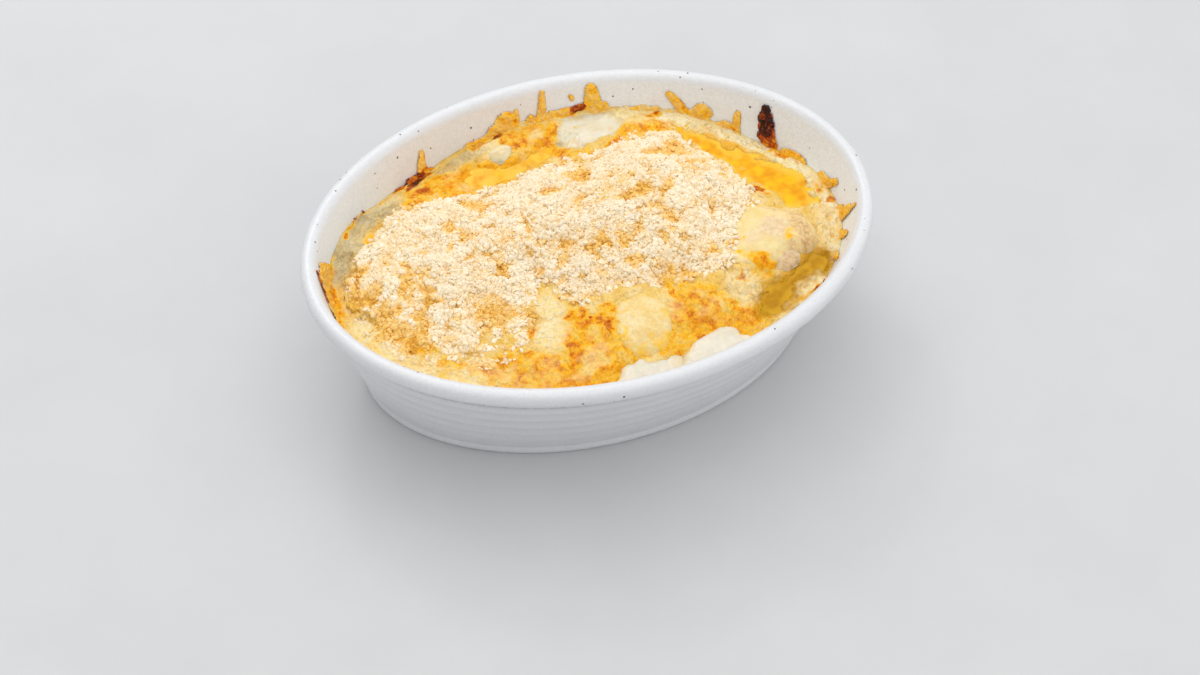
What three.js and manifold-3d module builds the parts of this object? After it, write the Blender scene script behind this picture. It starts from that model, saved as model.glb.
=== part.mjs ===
// Four cheese lasagna baked in an oval stoneware dish, under a heap of grated cheese.
// Millimetres. +X runs along the dish, +Y across it and +Z up. The origin is the middle of the foot.

import * as THREE from "three";
import { mergeVertices } from "three/addons/utils/BufferGeometryUtils.js";
import Module from "manifold-3d";

const wasm = await Module();
wasm.setup();

// Dish
const RIM_LENGTH = 202;
const RIM_WIDTH = 149.2;
const DISH_HEIGHT = 56;
const FOOT_INSET = 21.6; // from the rim's outline in to the edge of the foot
const END_TAPER = 0.935; // share of an inset that the two ends take
const SIDE_TAPER = 1.065; // share of an inset that the two long sides take
const BAND_HEIGHT = 6; // the rolled rim
const BAND_OVERHANG = 3.2;
const RIM_TOP_WIDTH = 5;
const FLOOR_THICKNESS = 5.5;
const FOOT_RING_WIDTH = 8;
const FOOT_RECESS = 1.2;
const THROWING_RIBS = [38.8, 31.7, 24.6, 17.9, 11.8]; // height of each ridge on the outer wall
const RIB_SPACING = 7;
const RIB_DEPTH = [0.5, 0.42, 0.36, 0.25, 0.18];
const INNER_SLOPE = 0.36; // inset gained for each millimetre down the inner wall

// Food
const GAP = 0.3; // between pieces that touch
const CROWN_LEVEL = 49; // middle of the bake
const EDGE_LEVELS = [40.5, 38.5, 43, 43.5, 40, 44, 42, 43, 43, 43, 43, 41.5]; // every 30 degrees
const SPLASH_THICKNESS = 0.9;
const SPLASH_ROOT = 3; // how far a splash reaches down into the bake
const CRUMB = 0.9; // how far a clump of crumbs stands proud
const CLUMP_SPACING = 3.1;
const ROW_STEP = 0.87; // rows of clumps stand closer than the clumps in a row
const GRATED_THICKNESS = 2.6; // at the ragged edge of the heap
const GRATED_FLOOR = 45;

// How many points go round each kind of piece
const DISH_SIDES = 54;
const BAKE_SIDES = 66;
const HEAP_SIDES = 76;

const HALF_LENGTH = RIM_LENGTH / 2;
const HALF_WIDTH = RIM_WIDTH / 2;
const FULL_TURN = 2 * Math.PI;

// Broad swellings of the bake: where, how far they reach and how high
const SWELLINGS = [
  { x: 60, y: -15, reachX: 22, reachY: 17, height: 2.2 },
  { x: 2, y: -42, reachX: 30, reachY: 17, height: 2.6 },
  { x: 34, y: -38, reachX: 15, reachY: 11, height: 2.4 },
  { x: -45, y: -38, reachX: 26, reachY: 12, height: 1.2 },
  { x: 36, y: 46, reachX: 13, reachY: 7, height: 2 },
  { x: -52, y: 42, reachX: 12, reachY: 7, height: 1.5 },
  { x: -62, y: 32, reachX: 12, reachY: 8, height: -1.5 },
];

// Browned splashes on the inner wall: foot and top angles round the oval in degrees, widths and top
const SPLASHES = [
  { foot: 116, top: 115.5, footWidth: 4.6, topWidth: 2.2, level: 49.6 },
  { foot: 120, top: 119, footWidth: 13, topWidth: 6, level: 43.8 },
  { foot: 101, top: 100, footWidth: 8, topWidth: 5, level: 44 },
  { foot: 94.5, top: 93, footWidth: 10, topWidth: 5, level: 50.6 },
  { foot: 85.5, top: 85.8, footWidth: 5, topWidth: 1.6, level: 53.6 },
  { foot: 80, top: 78, footWidth: 9, topWidth: 7, level: 47.4 },
  { foot: 74.5, top: 74.6, footWidth: 10, topWidth: 6.5, level: 53.6 },
  { foot: 56, top: 57.8, footWidth: 3.4, topWidth: 2.2, level: 51 },
  { foot: 49, top: 49.4, footWidth: 10, topWidth: 6, level: 48.2 },
  { foot: 38.6, top: 38.6, footWidth: 5, topWidth: 2.6, level: 48.2 },
  { foot: 29, top: 32, footWidth: 9.5, topWidth: 3.2, level: 53.4 },
  { foot: 17.5, top: 18.5, footWidth: 11, topWidth: 6, level: 44.4 },
  { foot: 2, top: 1.5, footWidth: 7, topWidth: 2.6, level: 47.4 },
  { foot: 346, top: 342.8, footWidth: 4.5, topWidth: 1.4, level: 52.6 },
  { foot: 327, top: 322, footWidth: 5, topWidth: 1.8, level: 52.6 },
  { foot: 311, top: 306, footWidth: 5, topWidth: 2, level: 52.4 },
  { foot: 167, top: 163, footWidth: 11, topWidth: 3.4, level: 51.4 },
  { foot: 175, top: 170.5, footWidth: 4, topWidth: 1.8, level: 52.4 },
];

// Toppings: outline on the plan, level of the bottom, of the edge and of the crown
const MOZZARELLA_BACK = {
  outline: [[8, 48], [13, 43.5], [21, 43], [29, 48], [34, 53], [31, 58.4], [24, 60.6], [15, 61], [9.5, 57]],
  bottom: 41.5, edge: 45.2, crown: 46.8, sides: 28, rows: 4, flatness: 3,
};
const MOZZARELLA_FRONT_LEFT = {
  outline: [[-14, -63], [-12, -57.5], [-7, -54], [-1, -54.6], [5, -55.2], [9.6, -57.6], [10.4, -62], [4, -66], [-8, -66]],
  bottom: 41, edge: 45, crown: 48, sides: 28, rows: 4, flatness: 2.4,
};
const MOZZARELLA_FRONT_RIGHT = {
  outline: [[12.4, -63], [12, -57.6], [16, -54.4], [22, -52.4], [28, -51], [33, -54], [34, -60], [26, -65], [16, -66]],
  bottom: 41, edge: 45.5, crown: 49, sides: 28, rows: 4, flatness: 2.4,
};
const MELTED_CHEESE_ROUND = {
  outline: [[-8.5, -44], [-5, -35], [3, -31], [12, -32.6], [17.4, -40], [17, -47.4], [10, -53.4], [1, -53.4], [-6.4, -50.6]],
  bottom: 46, edge: 48.6, crown: 53, sides: 32, rows: 5, flatness: 2,
};
const CHEESE_PEARL = {
  outline: [[-18, 53], [-14.4, 56.6], [-10.6, 54.6], [-10.6, 50.4], [-14, 48.6], [-17.4, 50]],
  bottom: 40.5, edge: 43.6, crown: 46, sides: 16, rows: 4, flatness: 2,
};
const FILLING = {
  outline: [[46, -20], [54, -10], [64, -7], [71, -12], [74.6, -19], [72.6, -27], [66, -32], [59, -35], [52, -31]],
  bottom: 43.5, edge: 46.6, crown: 49.4, sides: 30, rows: 3, flatness: 3,
};
const PASTA_FOLD = {
  outline: [[42, -28], [43, -20], [52, -8.5], [62, -4], [70, -6.4], [76.4, -14], [75.6, -22], [70, -26], [66.6, -22],
    [62, -25.4], [57, -31], [52, -33]],
  bottom: 44.5, edge: 49, crown: 52.4, sides: 44, rows: 4, flatness: 3.4,
};
const OIL_BACK_RIGHT = {
  outline: [[50.6, 46], [55, 40], [62, 30], [69, 21.6], [76, 14.6], [82, 7], [82.4, -3], [78.6, -7.6], [74, -4], [69.6, 4],
    [65, 13], [60.4, 22], [55, 31], [50.6, 39]],
  bottom: 41.6, level: 43.4, sides: 44,
};
const OIL_BACK_LEFT = {
  outline: [[-28, 45], [-22, 48.4], [-13, 47.4], [-4, 49], [3, 52], [7, 51], [6, 47.6], [-1, 45], [-10, 43], [-20, 41.4],
    [-27, 41.4]],
  bottom: 41.6, level: 43.4, sides: 34,
};
const OIL_FRONT_RIGHT = {
  outline: [[70, -29.6], [74.6, -30], [72, -35], [64, -36.6], [59, -40], [54, -45], [47, -48.6], [43.6, -47], [46, -43],
    [52, -39], [58, -37], [64, -34]],
  bottom: 41.4, level: 43, sides: 36,
};

// The heap lies along a straight ridge and is steepest at its ragged edge
const HEAP = {
  outline: [[-80, 16], [-70, 26], [-60, 34.6], [-46, 37], [-34, 33.6], [-20, 33], [-2, 36], [20, 37.6], [38, 41],
    [46, 39], [50, 32], [57, 20], [60, 10], [57, -1.6], [50, -6.6], [42, -15], [37, -26], [28, -29], [14, -28.6],
    [0, -25], [-9, -26.6], [-17.6, -24], [-21, -15], [-23, -9.6], [-27.6, -18], [-31, -28], [-37, -33.6],
    [-48, -35.6], [-60, -31], [-70, -22], [-79, -10], [-86, 2]],
  ridgeStart: [-58, 2],
  ridgeEnd: [42, 11],
  startLevel: 52.6,
  topLevel: 60.4,
  topAlong: 0.78,
  endLevel: 57.4,
};

function ovalNormal(angle) {
  const x = Math.cos(angle) / HALF_LENGTH;
  const y = Math.sin(angle) / HALF_WIDTH;
  const length = Math.hypot(x, y);
  return [x / length, y / length];
}

// A point on the oval that lies a given inset inside the rim's outline
function ovalPoint(angle, inset) {
  const [x, y] = ovalNormal(angle);
  return [
    HALF_LENGTH * Math.cos(angle) - inset * END_TAPER * x,
    HALF_WIDTH * Math.sin(angle) - inset * SIDE_TAPER * y,
  ];
}

function ovalRing(inset, level, sides) {
  return Array.from({ length: sides }, (_, i) => [...ovalPoint((i / sides) * FULL_TURN, inset), level]);
}

// How far the inner wall stands in from the rim's outline at a level
function innerInset(level) {
  return RIM_TOP_WIDTH + INNER_SLOPE * (DISH_HEIGHT - level);
}

function clamp(value, low, high) {
  return Math.min(high, Math.max(low, value));
}

// A steady stream of numbers from 0 to 1, the same every time
function drawer(seed) {
  let state = seed;
  return () => {
    state = (state * 16807) % 2147483647;
    return state / 2147483647;
  };
}

// Joins rings of points, from the bottom one up and over to the last, and closes both ends
function loft(rings) {
  const sides = rings[0].length;
  const faces = [];
  for (let row = 0; row + 1 < rings.length; row += 1) {
    for (let i = 0; i < sides; i += 1) {
      const next = (i + 1) % sides;
      const a = row * sides + i;
      const b = row * sides + next;
      faces.push(a, b, b + sides, a, b + sides, a + sides);
    }
  }
  const cap = (ring) => THREE.ShapeUtils.triangulateShape(ring.map(([x, y]) => new THREE.Vector2(x, y)), []);
  for (const [a, b, c] of cap(rings[0])) {
    faces.push(a, c, b);
  }
  const last = (rings.length - 1) * sides;
  for (const [a, b, c] of cap(rings.at(-1))) {
    faces.push(last + a, last + b, last + c);
  }
  const geometry = new THREE.BufferGeometry();
  geometry.setAttribute("position", new THREE.Float32BufferAttribute(rings.flat(2), 3));
  geometry.setIndex(faces);
  return geometry;
}

function toSolid(geometry) {
  const bare = new THREE.BufferGeometry();
  bare.setAttribute("position", geometry.getAttribute("position").clone());
  bare.setIndex(geometry.getIndex());
  const merged = mergeVertices(bare, 1e-4);
  return new wasm.Manifold(new wasm.Mesh({
    numProp: 3,
    vertProperties: Float32Array.from(merged.getAttribute("position").array),
    triVerts: Uint32Array.from(merged.getIndex().array),
  }));
}

function toGeometry(solid) {
  const mesh = solid.getMesh();
  const geometry = new THREE.BufferGeometry();
  geometry.setAttribute("position", new THREE.BufferAttribute(mesh.vertProperties, 3));
  geometry.setIndex(new THREE.BufferAttribute(mesh.triVerts, 1));
  return geometry;
}

// A smooth closed outline through a few points, going round against the clock
function smoothOutline(points, sides) {
  const corners = points.map(([x, y]) => new THREE.Vector3(x, y, 0));
  if (THREE.ShapeUtils.area(corners) < 0) {
    corners.reverse();
  }
  const curve = new THREE.CatmullRomCurve3(corners, true, "centripetal");
  return curve.getSpacedPoints(sides).slice(0, sides).map((point) => [point.x, point.y]);
}

// The outline moved outward all round
function grownOutline(outline, distance) {
  const count = outline.length;
  return outline.map(([x, y], i) => {
    const before = outline[(i + count - 1) % count];
    const after = outline[(i + 1) % count];
    const alongX = after[0] - before[0];
    const alongY = after[1] - before[1];
    const length = Math.hypot(alongX, alongY);
    return [x + (distance * alongY) / length, y - (distance * alongX) / length];
  });
}

function prism(outline, bottom, top, bevel = 0) {
  const shape = new THREE.Shape(outline.map(([x, y]) => new THREE.Vector2(x, y)));
  const geometry = new THREE.ExtrudeGeometry(shape, {
    depth: top - bottom - 2 * bevel,
    steps: 1,
    bevelEnabled: bevel > 0,
    bevelThickness: bevel,
    bevelSize: bevel,
    bevelOffset: -bevel,
    bevelSegments: 1,
  });
  geometry.translate(0, 0, bottom + bevel);
  const bare = new THREE.BufferGeometry();
  bare.setAttribute("position", geometry.getAttribute("position"));
  return toSolid(mergeVertices(bare, 1e-4));
}

// Dish: foot, ribbed wall, rolled rim, inner wall and floor as one turned oval
function dishWall() {
  const wallTop = DISH_HEIGHT - BAND_HEIGHT - 1.5;
  const wallFoot = 2.4;
  const footSlope = (FOOT_INSET - 0.9 - BAND_OVERHANG - 0.4) / (wallTop - wallFoot);
  const wallInset = (level) => BAND_OVERHANG + 0.4 + footSlope * (wallTop - level);
  const rings = [];
  for (let i = THROWING_RIBS.length - 1; i >= 0; i -= 1) {
    const ridge = THROWING_RIBS[i];
    rings.push([wallInset(ridge - RIB_SPACING / 2) + RIB_DEPTH[i] / 2, ridge - RIB_SPACING / 2]);
    rings.push([wallInset(ridge) - RIB_DEPTH[i] / 2, ridge]);
  }
  const lower = [[FOOT_INSET - 0.9, wallFoot], [FOOT_INSET - 0.9 + 0.35, 4.2], [wallInset(6), 6]];
  const upper = [[BAND_OVERHANG + 0.5, wallTop - 4], [BAND_OVERHANG + 0.2, wallTop], [BAND_OVERHANG - 0.8, wallTop + 1.3]];
  return [...lower, ...rings, ...upper];
}

function dish() {
  const bandFoot = DISH_HEIGHT - BAND_HEIGHT;
  const floorInset = innerInset(FLOOR_THICKNESS);
  const rim = [
    [0.9, bandFoot + 0.2], [0, bandFoot + 2.2], [0.5, DISH_HEIGHT - 1.2],
    [1.6, DISH_HEIGHT - 0.2], [3, DISH_HEIGHT], [4.4, DISH_HEIGHT - 0.4], [innerInset(DISH_HEIGHT - 1.9), DISH_HEIGHT - 1.9],
  ];
  const inside = [
    [innerInset(13), 13], [innerInset(9) + 0.8, 9], [floorInset + 3, FLOOR_THICKNESS + 1],
    [floorInset + 7, FLOOR_THICKNESS],
  ];
  const foot = [
    [FOOT_INSET + FOOT_RING_WIDTH + 1, FOOT_RECESS], [FOOT_INSET + FOOT_RING_WIDTH, 0], [FOOT_INSET, 0],
    [FOOT_INSET - 0.7, 0.8],
  ];
  const profile = [...foot, ...dishWall(), ...rim, ...inside];
  return loft(profile.map(([inset, level]) => ovalRing(inset, level, DISH_SIDES)));
}

// Level at which the bake meets the wall
function edgeLevel(angle) {
  const step = FULL_TURN / EDGE_LEVELS.length;
  const place = ((angle / step) % EDGE_LEVELS.length + EDGE_LEVELS.length) % EDGE_LEVELS.length;
  const i = Math.floor(place);
  const blend = (1 - Math.cos((place - i) * Math.PI)) / 2;
  const next = EDGE_LEVELS[(i + 1) % EDGE_LEVELS.length];
  return EDGE_LEVELS[i] + (next - EDGE_LEVELS[i]) * blend;
}

// Level of the bake's surface at a share of the way from its middle to the wall
function bakeLevel(x, y, angle, share) {
  let level = CROWN_LEVEL + (edgeLevel(angle) - CROWN_LEVEL) * share ** 3;
  for (const swelling of SWELLINGS) {
    const dx = (x - swelling.x) / swelling.reachX;
    const dy = (y - swelling.y) / swelling.reachY;
    level += swelling.height * Math.exp(-(dx * dx + dy * dy)) * (1 - share ** 8);
  }
  const ripple = 0.5 * Math.sin(0.42 * x + 1.3) * Math.cos(0.37 * y + 0.4) + 0.3 * Math.sin(0.9 * x - 0.8 * y);
  return level + ripple * (1 - share ** 8);
}

function bake() {
  const bottom = FLOOR_THICKNESS + GAP;
  const clearance = GAP + 0.15;
  const floorInset = innerInset(FLOOR_THICKNESS) + 7.4;
  const wall = [[floorInset, bottom], [floorInset - 4, bottom + 1], [innerInset(10) + 1.4, 10.4]];
  const rings = wall.map(([inset, level]) => ovalRing(inset, level, BAKE_SIDES));
  rings.push(ovalRing(innerInset(14) + clearance, 14, BAKE_SIDES));
  const shares = [1, 0.96, 0.91, 0.85, 0.78, 0.7, 0.61, 0.5, 0.36];
  for (const share of shares) {
    rings.push(Array.from({ length: BAKE_SIDES }, (_, i) => {
      const angle = (i / BAKE_SIDES) * FULL_TURN;
      const [edgeX, edgeY] = ovalPoint(angle, innerInset(edgeLevel(angle)) + clearance);
      const x = edgeX * share;
      const y = edgeY * share;
      return [x, y, bakeLevel(x, y, angle, share)];
    }));
  }
  return toSolid(loft(rings));
}

// A tongue of browned cheese that climbs the inner wall
function splash({ foot, top, footWidth, topWidth, level }) {
  const rows = 4;
  const footLevel = edgeLevel(THREE.MathUtils.degToRad(foot)) - SPLASH_ROOT;
  const rings = [];
  for (let row = 0; row <= rows; row += 1) {
    const share = row / rows;
    const height = footLevel + (level - footLevel) * share;
    const angle = THREE.MathUtils.degToRad(foot + (top - foot) * share);
    const round = row === rows ? 0.45 : 1;
    const half = (round * (footWidth + (topWidth - footWidth) * Math.min(1, share * 1.3))) / 2;
    const [ax, ay] = ovalPoint(angle, 0);
    const [bx, by] = ovalPoint(angle + 0.01, 0);
    const turn = (half * 0.01) / Math.hypot(bx - ax, by - ay);
    const back = innerInset(height) + GAP + 0.1;
    const front = back + SPLASH_THICKNESS;
    rings.push([
      [...ovalPoint(angle - turn * 0.7, front), height],
      [...ovalPoint(angle - turn, back), height],
      [...ovalPoint(angle + turn, back), height],
      [...ovalPoint(angle + turn * 0.7, front), height],
    ]);
  }
  return toSolid(loft(rings));
}

// A rounded topping: a flat bottom, a steep side and a crown over its middle
function topping({ outline, bottom, edge, crown, sides, rows, flatness }, grow = 0) {
  const base = grownOutline(smoothOutline(outline, sides), grow);
  const middleX = base.reduce((sum, point) => sum + point[0], 0) / sides;
  const middleY = base.reduce((sum, point) => sum + point[1], 0) / sides;
  const rings = [base.map(([x, y]) => [x, y, bottom - grow])];
  for (let row = 0; row < rows; row += 1) {
    const share = 1 - (row / rows) ** 1.4;
    const level = edge + grow + (crown - edge) * (1 - share ** flatness);
    rings.push(base.map(([x, y]) => [
      middleX + (x - middleX) * share,
      middleY + (y - middleY) * share,
      level,
    ]));
  }
  return toSolid(loft(rings));
}

function pool({ outline, bottom, level, sides }) {
  return prism(smoothOutline(outline, sides), bottom, level, 0.3);
}

// Height of the ridge at a share of its length
function ridgeLevel(along) {
  const { startLevel, topLevel, topAlong, endLevel } = HEAP;
  if (along < topAlong) {
    return startLevel + (topLevel - startLevel) * Math.sin(((along / topAlong) * Math.PI) / 2);
  }
  return topLevel + (endLevel - topLevel) * ((along - topAlong) / (1 - topAlong)) ** 2;
}

// The nearest point of a straight stretch: how far off it is, and at what share of the stretch
function nearest([x, y], [startX, startY], [endX, endY]) {
  const spanX = endX - startX;
  const spanY = endY - startY;
  const along = clamp(((x - startX) * spanX + (y - startY) * spanY) / (spanX ** 2 + spanY ** 2), 0, 1);
  return { along, distance: Math.hypot(x - startX - spanX * along, y - startY - spanY * along) };
}

// Level of the heap at a point, which rises from its ragged edge to the ridge
function heapLevel(point, outline) {
  const toEdge = Math.min(...outline.map((start, i) =>
    nearest(point, start, outline[(i + 1) % outline.length]).distance));
  const ridge = nearest(point, HEAP.ridgeStart, HEAP.ridgeEnd);
  const share = toEdge / (toEdge + ridge.distance);
  const edgeTop = GRATED_FLOOR + GRATED_THICKNESS;
  return edgeTop + (ridgeLevel(ridge.along) - edgeTop) * Math.sin((share * Math.PI) / 2) ** 0.9;
}

// A slab with a clumpy top: rows of points a clump apart, each moved a little at random
function clumpySlab([lowX, highX], [lowY, highY], bottom, levelAt) {
  const draw = drawer(4711);
  const columns = Math.ceil((highX - lowX) / CLUMP_SPACING);
  const rows = Math.ceil((highY - lowY) / (CLUMP_SPACING * ROW_STEP));
  const points = [];
  for (let row = 0; row <= rows; row += 1) {
    for (let column = 0; column <= columns; column += 1) {
      const inside = row > 0 && row < rows && column > 0 && column < columns;
      const stagger = inside && row % 2 ? 0.5 : 0;
      const shift = () => (inside ? (draw() - 0.5) * 0.5 * CLUMP_SPACING : 0);
      const x = lowX + (column + stagger) * CLUMP_SPACING + shift();
      const y = lowY + row * ROW_STEP * CLUMP_SPACING + shift();
      points.push([x, y, levelAt([x, y]) + (draw() - 0.5) * 2 * CRUMB]);
    }
  }
  const width = columns + 1;
  const faces = [];
  for (let row = 0; row < rows; row += 1) {
    for (let column = 0; column < columns; column += 1) {
      const a = row * width + column;
      const b = a + 1;
      const c = a + width;
      const d = c + 1;
      faces.push(...(row % 2 ? [a, b, d, a, d, c] : [a, b, c, b, d, c]));
    }
  }
  const border = [];
  for (let column = 0; column < columns; column += 1) border.push(column);
  for (let row = 0; row < rows; row += 1) border.push(row * width + columns);
  for (let column = columns; column > 0; column -= 1) border.push(rows * width + column);
  for (let row = rows; row > 0; row -= 1) border.push(row * width);
  const under = points.length;
  for (const i of border) {
    points.push([points[i][0], points[i][1], bottom]);
  }
  border.forEach((top, i) => {
    const next = (i + 1) % border.length;
    faces.push(top, under + i, under + next, top, under + next, border[next]);
  });
  const flat = border.map((i) => new THREE.Vector2(points[i][0], points[i][1]));
  for (const [a, b, c] of THREE.ShapeUtils.triangulateShape(flat, [])) {
    faces.push(under + a, under + c, under + b);
  }
  const geometry = new THREE.BufferGeometry();
  geometry.setAttribute("position", new THREE.Float32BufferAttribute(points.flat(), 3));
  geometry.setIndex(faces);
  return toSolid(geometry);
}

function gratedHeap() {
  const outline = smoothOutline(HEAP.outline, HEAP_SIDES);
  const xs = outline.map(([x]) => x);
  const ys = outline.map(([, y]) => y);
  const margin = CLUMP_SPACING;
  const slab = clumpySlab(
    [Math.min(...xs) - margin, Math.max(...xs) + margin],
    [Math.min(...ys) - margin, Math.max(...ys) + margin],
    GRATED_FLOOR - 1,
    (point) => heapLevel(point, outline),
  );
  return slab.intersect(prism(outline, GRATED_FLOOR, DISH_HEIGHT + 20));
}

function pocket(outline, sides, bottom, gap = GAP) {
  return prism(grownOutline(smoothOutline(outline, sides), gap), bottom - gap, DISH_HEIGHT + 20);
}

// Everything that lies in the dish is kept clear of its wall
const cavityRings = [20, 30, 42, 50, 56, 70].map((level) =>
  ovalRing(innerInset(level) + GAP + 0.1, level, BAKE_SIDES));
const cavity = toSolid(loft(cavityRings));

const heapPocket = pocket(HEAP.outline, HEAP_SIDES, GRATED_FLOOR);
const filling = topping(FILLING);
const grownFilling = topping(FILLING, GAP);
const foldPocket = pocket(PASTA_FOLD.outline, PASTA_FOLD.sides, PASTA_FOLD.bottom);
const roundPocket = pocket(MELTED_CHEESE_ROUND.outline, MELTED_CHEESE_ROUND.sides, MELTED_CHEESE_ROUND.bottom);
const frontLeftPocket = pocket(MOZZARELLA_FRONT_LEFT.outline, MOZZARELLA_FRONT_LEFT.sides, MOZZARELLA_FRONT_LEFT.bottom);

const solids = {
  grated_cheese: gratedHeap(),
  filling: filling.subtract(heapPocket),
  pasta_fold: topping(PASTA_FOLD).subtract(grownFilling).subtract(heapPocket),
  melted_cheese_round: topping(MELTED_CHEESE_ROUND).subtract(heapPocket),
  mozzarella_front_left: topping(MOZZARELLA_FRONT_LEFT).subtract(roundPocket).intersect(cavity),
  mozzarella_front_right: topping(MOZZARELLA_FRONT_RIGHT).subtract(roundPocket).subtract(frontLeftPocket)
    .intersect(cavity),
  mozzarella_back: topping(MOZZARELLA_BACK).subtract(heapPocket).intersect(cavity),
  cheese_pearl: topping(CHEESE_PEARL).intersect(cavity),
  oil_back_right: pool(OIL_BACK_RIGHT).subtract(heapPocket).intersect(cavity),
  oil_back_left: pool(OIL_BACK_LEFT).subtract(heapPocket),
  oil_front_right: pool(OIL_FRONT_RIGHT).subtract(foldPocket).subtract(topping(FILLING, GAP)),
};

// The bake with its splashes, and a pocket for every topping that sits in it
let lasagna = bake();
for (const spec of SPLASHES) {
  lasagna = lasagna.add(splash(spec));
}
lasagna = lasagna.subtract(heapPocket).subtract(foldPocket).subtract(roundPocket).subtract(frontLeftPocket);
for (const spec of [MOZZARELLA_FRONT_RIGHT, MOZZARELLA_BACK, CHEESE_PEARL, FILLING, OIL_BACK_RIGHT,
  OIL_BACK_LEFT, OIL_FRONT_RIGHT]) {
  lasagna = lasagna.subtract(pocket(spec.outline, spec.sides, spec.bottom));
}
solids.lasagna = lasagna;

const FINISHES = {
  dish: { color: 0xe9e9e8, roughness: 0.32 },
  lasagna: { color: 0xe9c27c, roughness: 0.45 },
  grated_cheese: { color: 0xf6e6bf, roughness: 0.85 },
  filling: { color: 0xd9b79a, roughness: 0.7 },
  pasta_fold: { color: 0xe9d3a0, roughness: 0.45 },
  melted_cheese_round: { color: 0xf0cf83, roughness: 0.4 },
  mozzarella_front_left: { color: 0xf3ecdc, roughness: 0.35 },
  mozzarella_front_right: { color: 0xf3ecdc, roughness: 0.35 },
  mozzarella_back: { color: 0xe8e0c6, roughness: 0.3 },
  cheese_pearl: { color: 0xe6dcc0, roughness: 0.3 },
  oil_back_right: { color: 0xf6bd1c, roughness: 0.1 },
  oil_back_left: { color: 0xefb524, roughness: 0.1 },
  oil_front_right: { color: 0xc29010, roughness: 0.1 },
};

const group = new THREE.Group();
for (const [name, { color, roughness }] of Object.entries(FINISHES)) {
  const geometry = name === "dish" ? dish() : toGeometry(solids[name]);
  const mesh = new THREE.Mesh(geometry, new THREE.MeshStandardMaterial({ color, roughness, metalness: 0 }));
  mesh.name = name;
  group.add(mesh);
}

export default group;
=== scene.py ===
# Looks of a four cheese lasagna baked in an oval stoneware dish, under a heap of grated cheese.
# The dish, the bake and the toppings are worked out in millimetres, as in the part's source,
# and turned to metres when their points are placed. +X runs along the dish, +Y across it, +Z up.

import math

import bmesh
import bpy
import numpy as np
from mathutils import Matrix, Vector


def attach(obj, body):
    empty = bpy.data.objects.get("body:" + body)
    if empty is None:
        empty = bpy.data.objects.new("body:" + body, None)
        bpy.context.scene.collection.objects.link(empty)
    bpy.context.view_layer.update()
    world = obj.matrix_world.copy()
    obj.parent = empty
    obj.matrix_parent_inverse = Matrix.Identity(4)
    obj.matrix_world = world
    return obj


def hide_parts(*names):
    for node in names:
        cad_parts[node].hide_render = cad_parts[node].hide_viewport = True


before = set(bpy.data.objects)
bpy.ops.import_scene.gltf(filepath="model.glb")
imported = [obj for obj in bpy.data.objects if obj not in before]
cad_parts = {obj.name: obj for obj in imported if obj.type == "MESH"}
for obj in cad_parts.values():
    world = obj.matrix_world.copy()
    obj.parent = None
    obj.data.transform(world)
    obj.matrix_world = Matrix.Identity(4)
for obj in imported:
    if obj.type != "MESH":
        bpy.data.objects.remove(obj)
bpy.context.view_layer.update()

MM = 0.001

# Dish
HALF_LENGTH = 101.0
HALF_WIDTH = 74.6
DISH_HEIGHT = 56.0
END_TAPER = 0.935
SIDE_TAPER = 1.065
RIM_TOP_WIDTH = 5.0
INNER_SLOPE = 0.36
FLOOR_LEVEL = 5.5
FOOT_INSET = 21.6
THROWING_RIBS = [38.8, 31.7, 24.6, 17.9, 11.8]
RIB_DEPTHS = [0.5, 0.42, 0.36, 0.25, 0.18]
DISH_SIDES = 280
# Level of the band of painted shade under the rim
PAINTED_RIM_SHADE_LEVEL = 44.8

# Bake
CROWN_LEVEL = 49.0
EDGE_LEVELS = np.array([40.5, 38.5, 43, 43.5, 40, 44, 42, 43, 43, 43, 43, 41.5])
# Swellings of the bake: x, y, reach along, reach across, height
SWELLINGS = [
    (60, -15, 22, 17, 2.2), (2, -42, 30, 17, 2.6), (34, -38, 15, 11, 2.4), (-45, -38, 26, 12, 1.2),
    (36, 46, 13, 7, 2), (-52, 42, 12, 7, 1.5), (-62, 32, 12, 8, -1.5),
]

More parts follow.
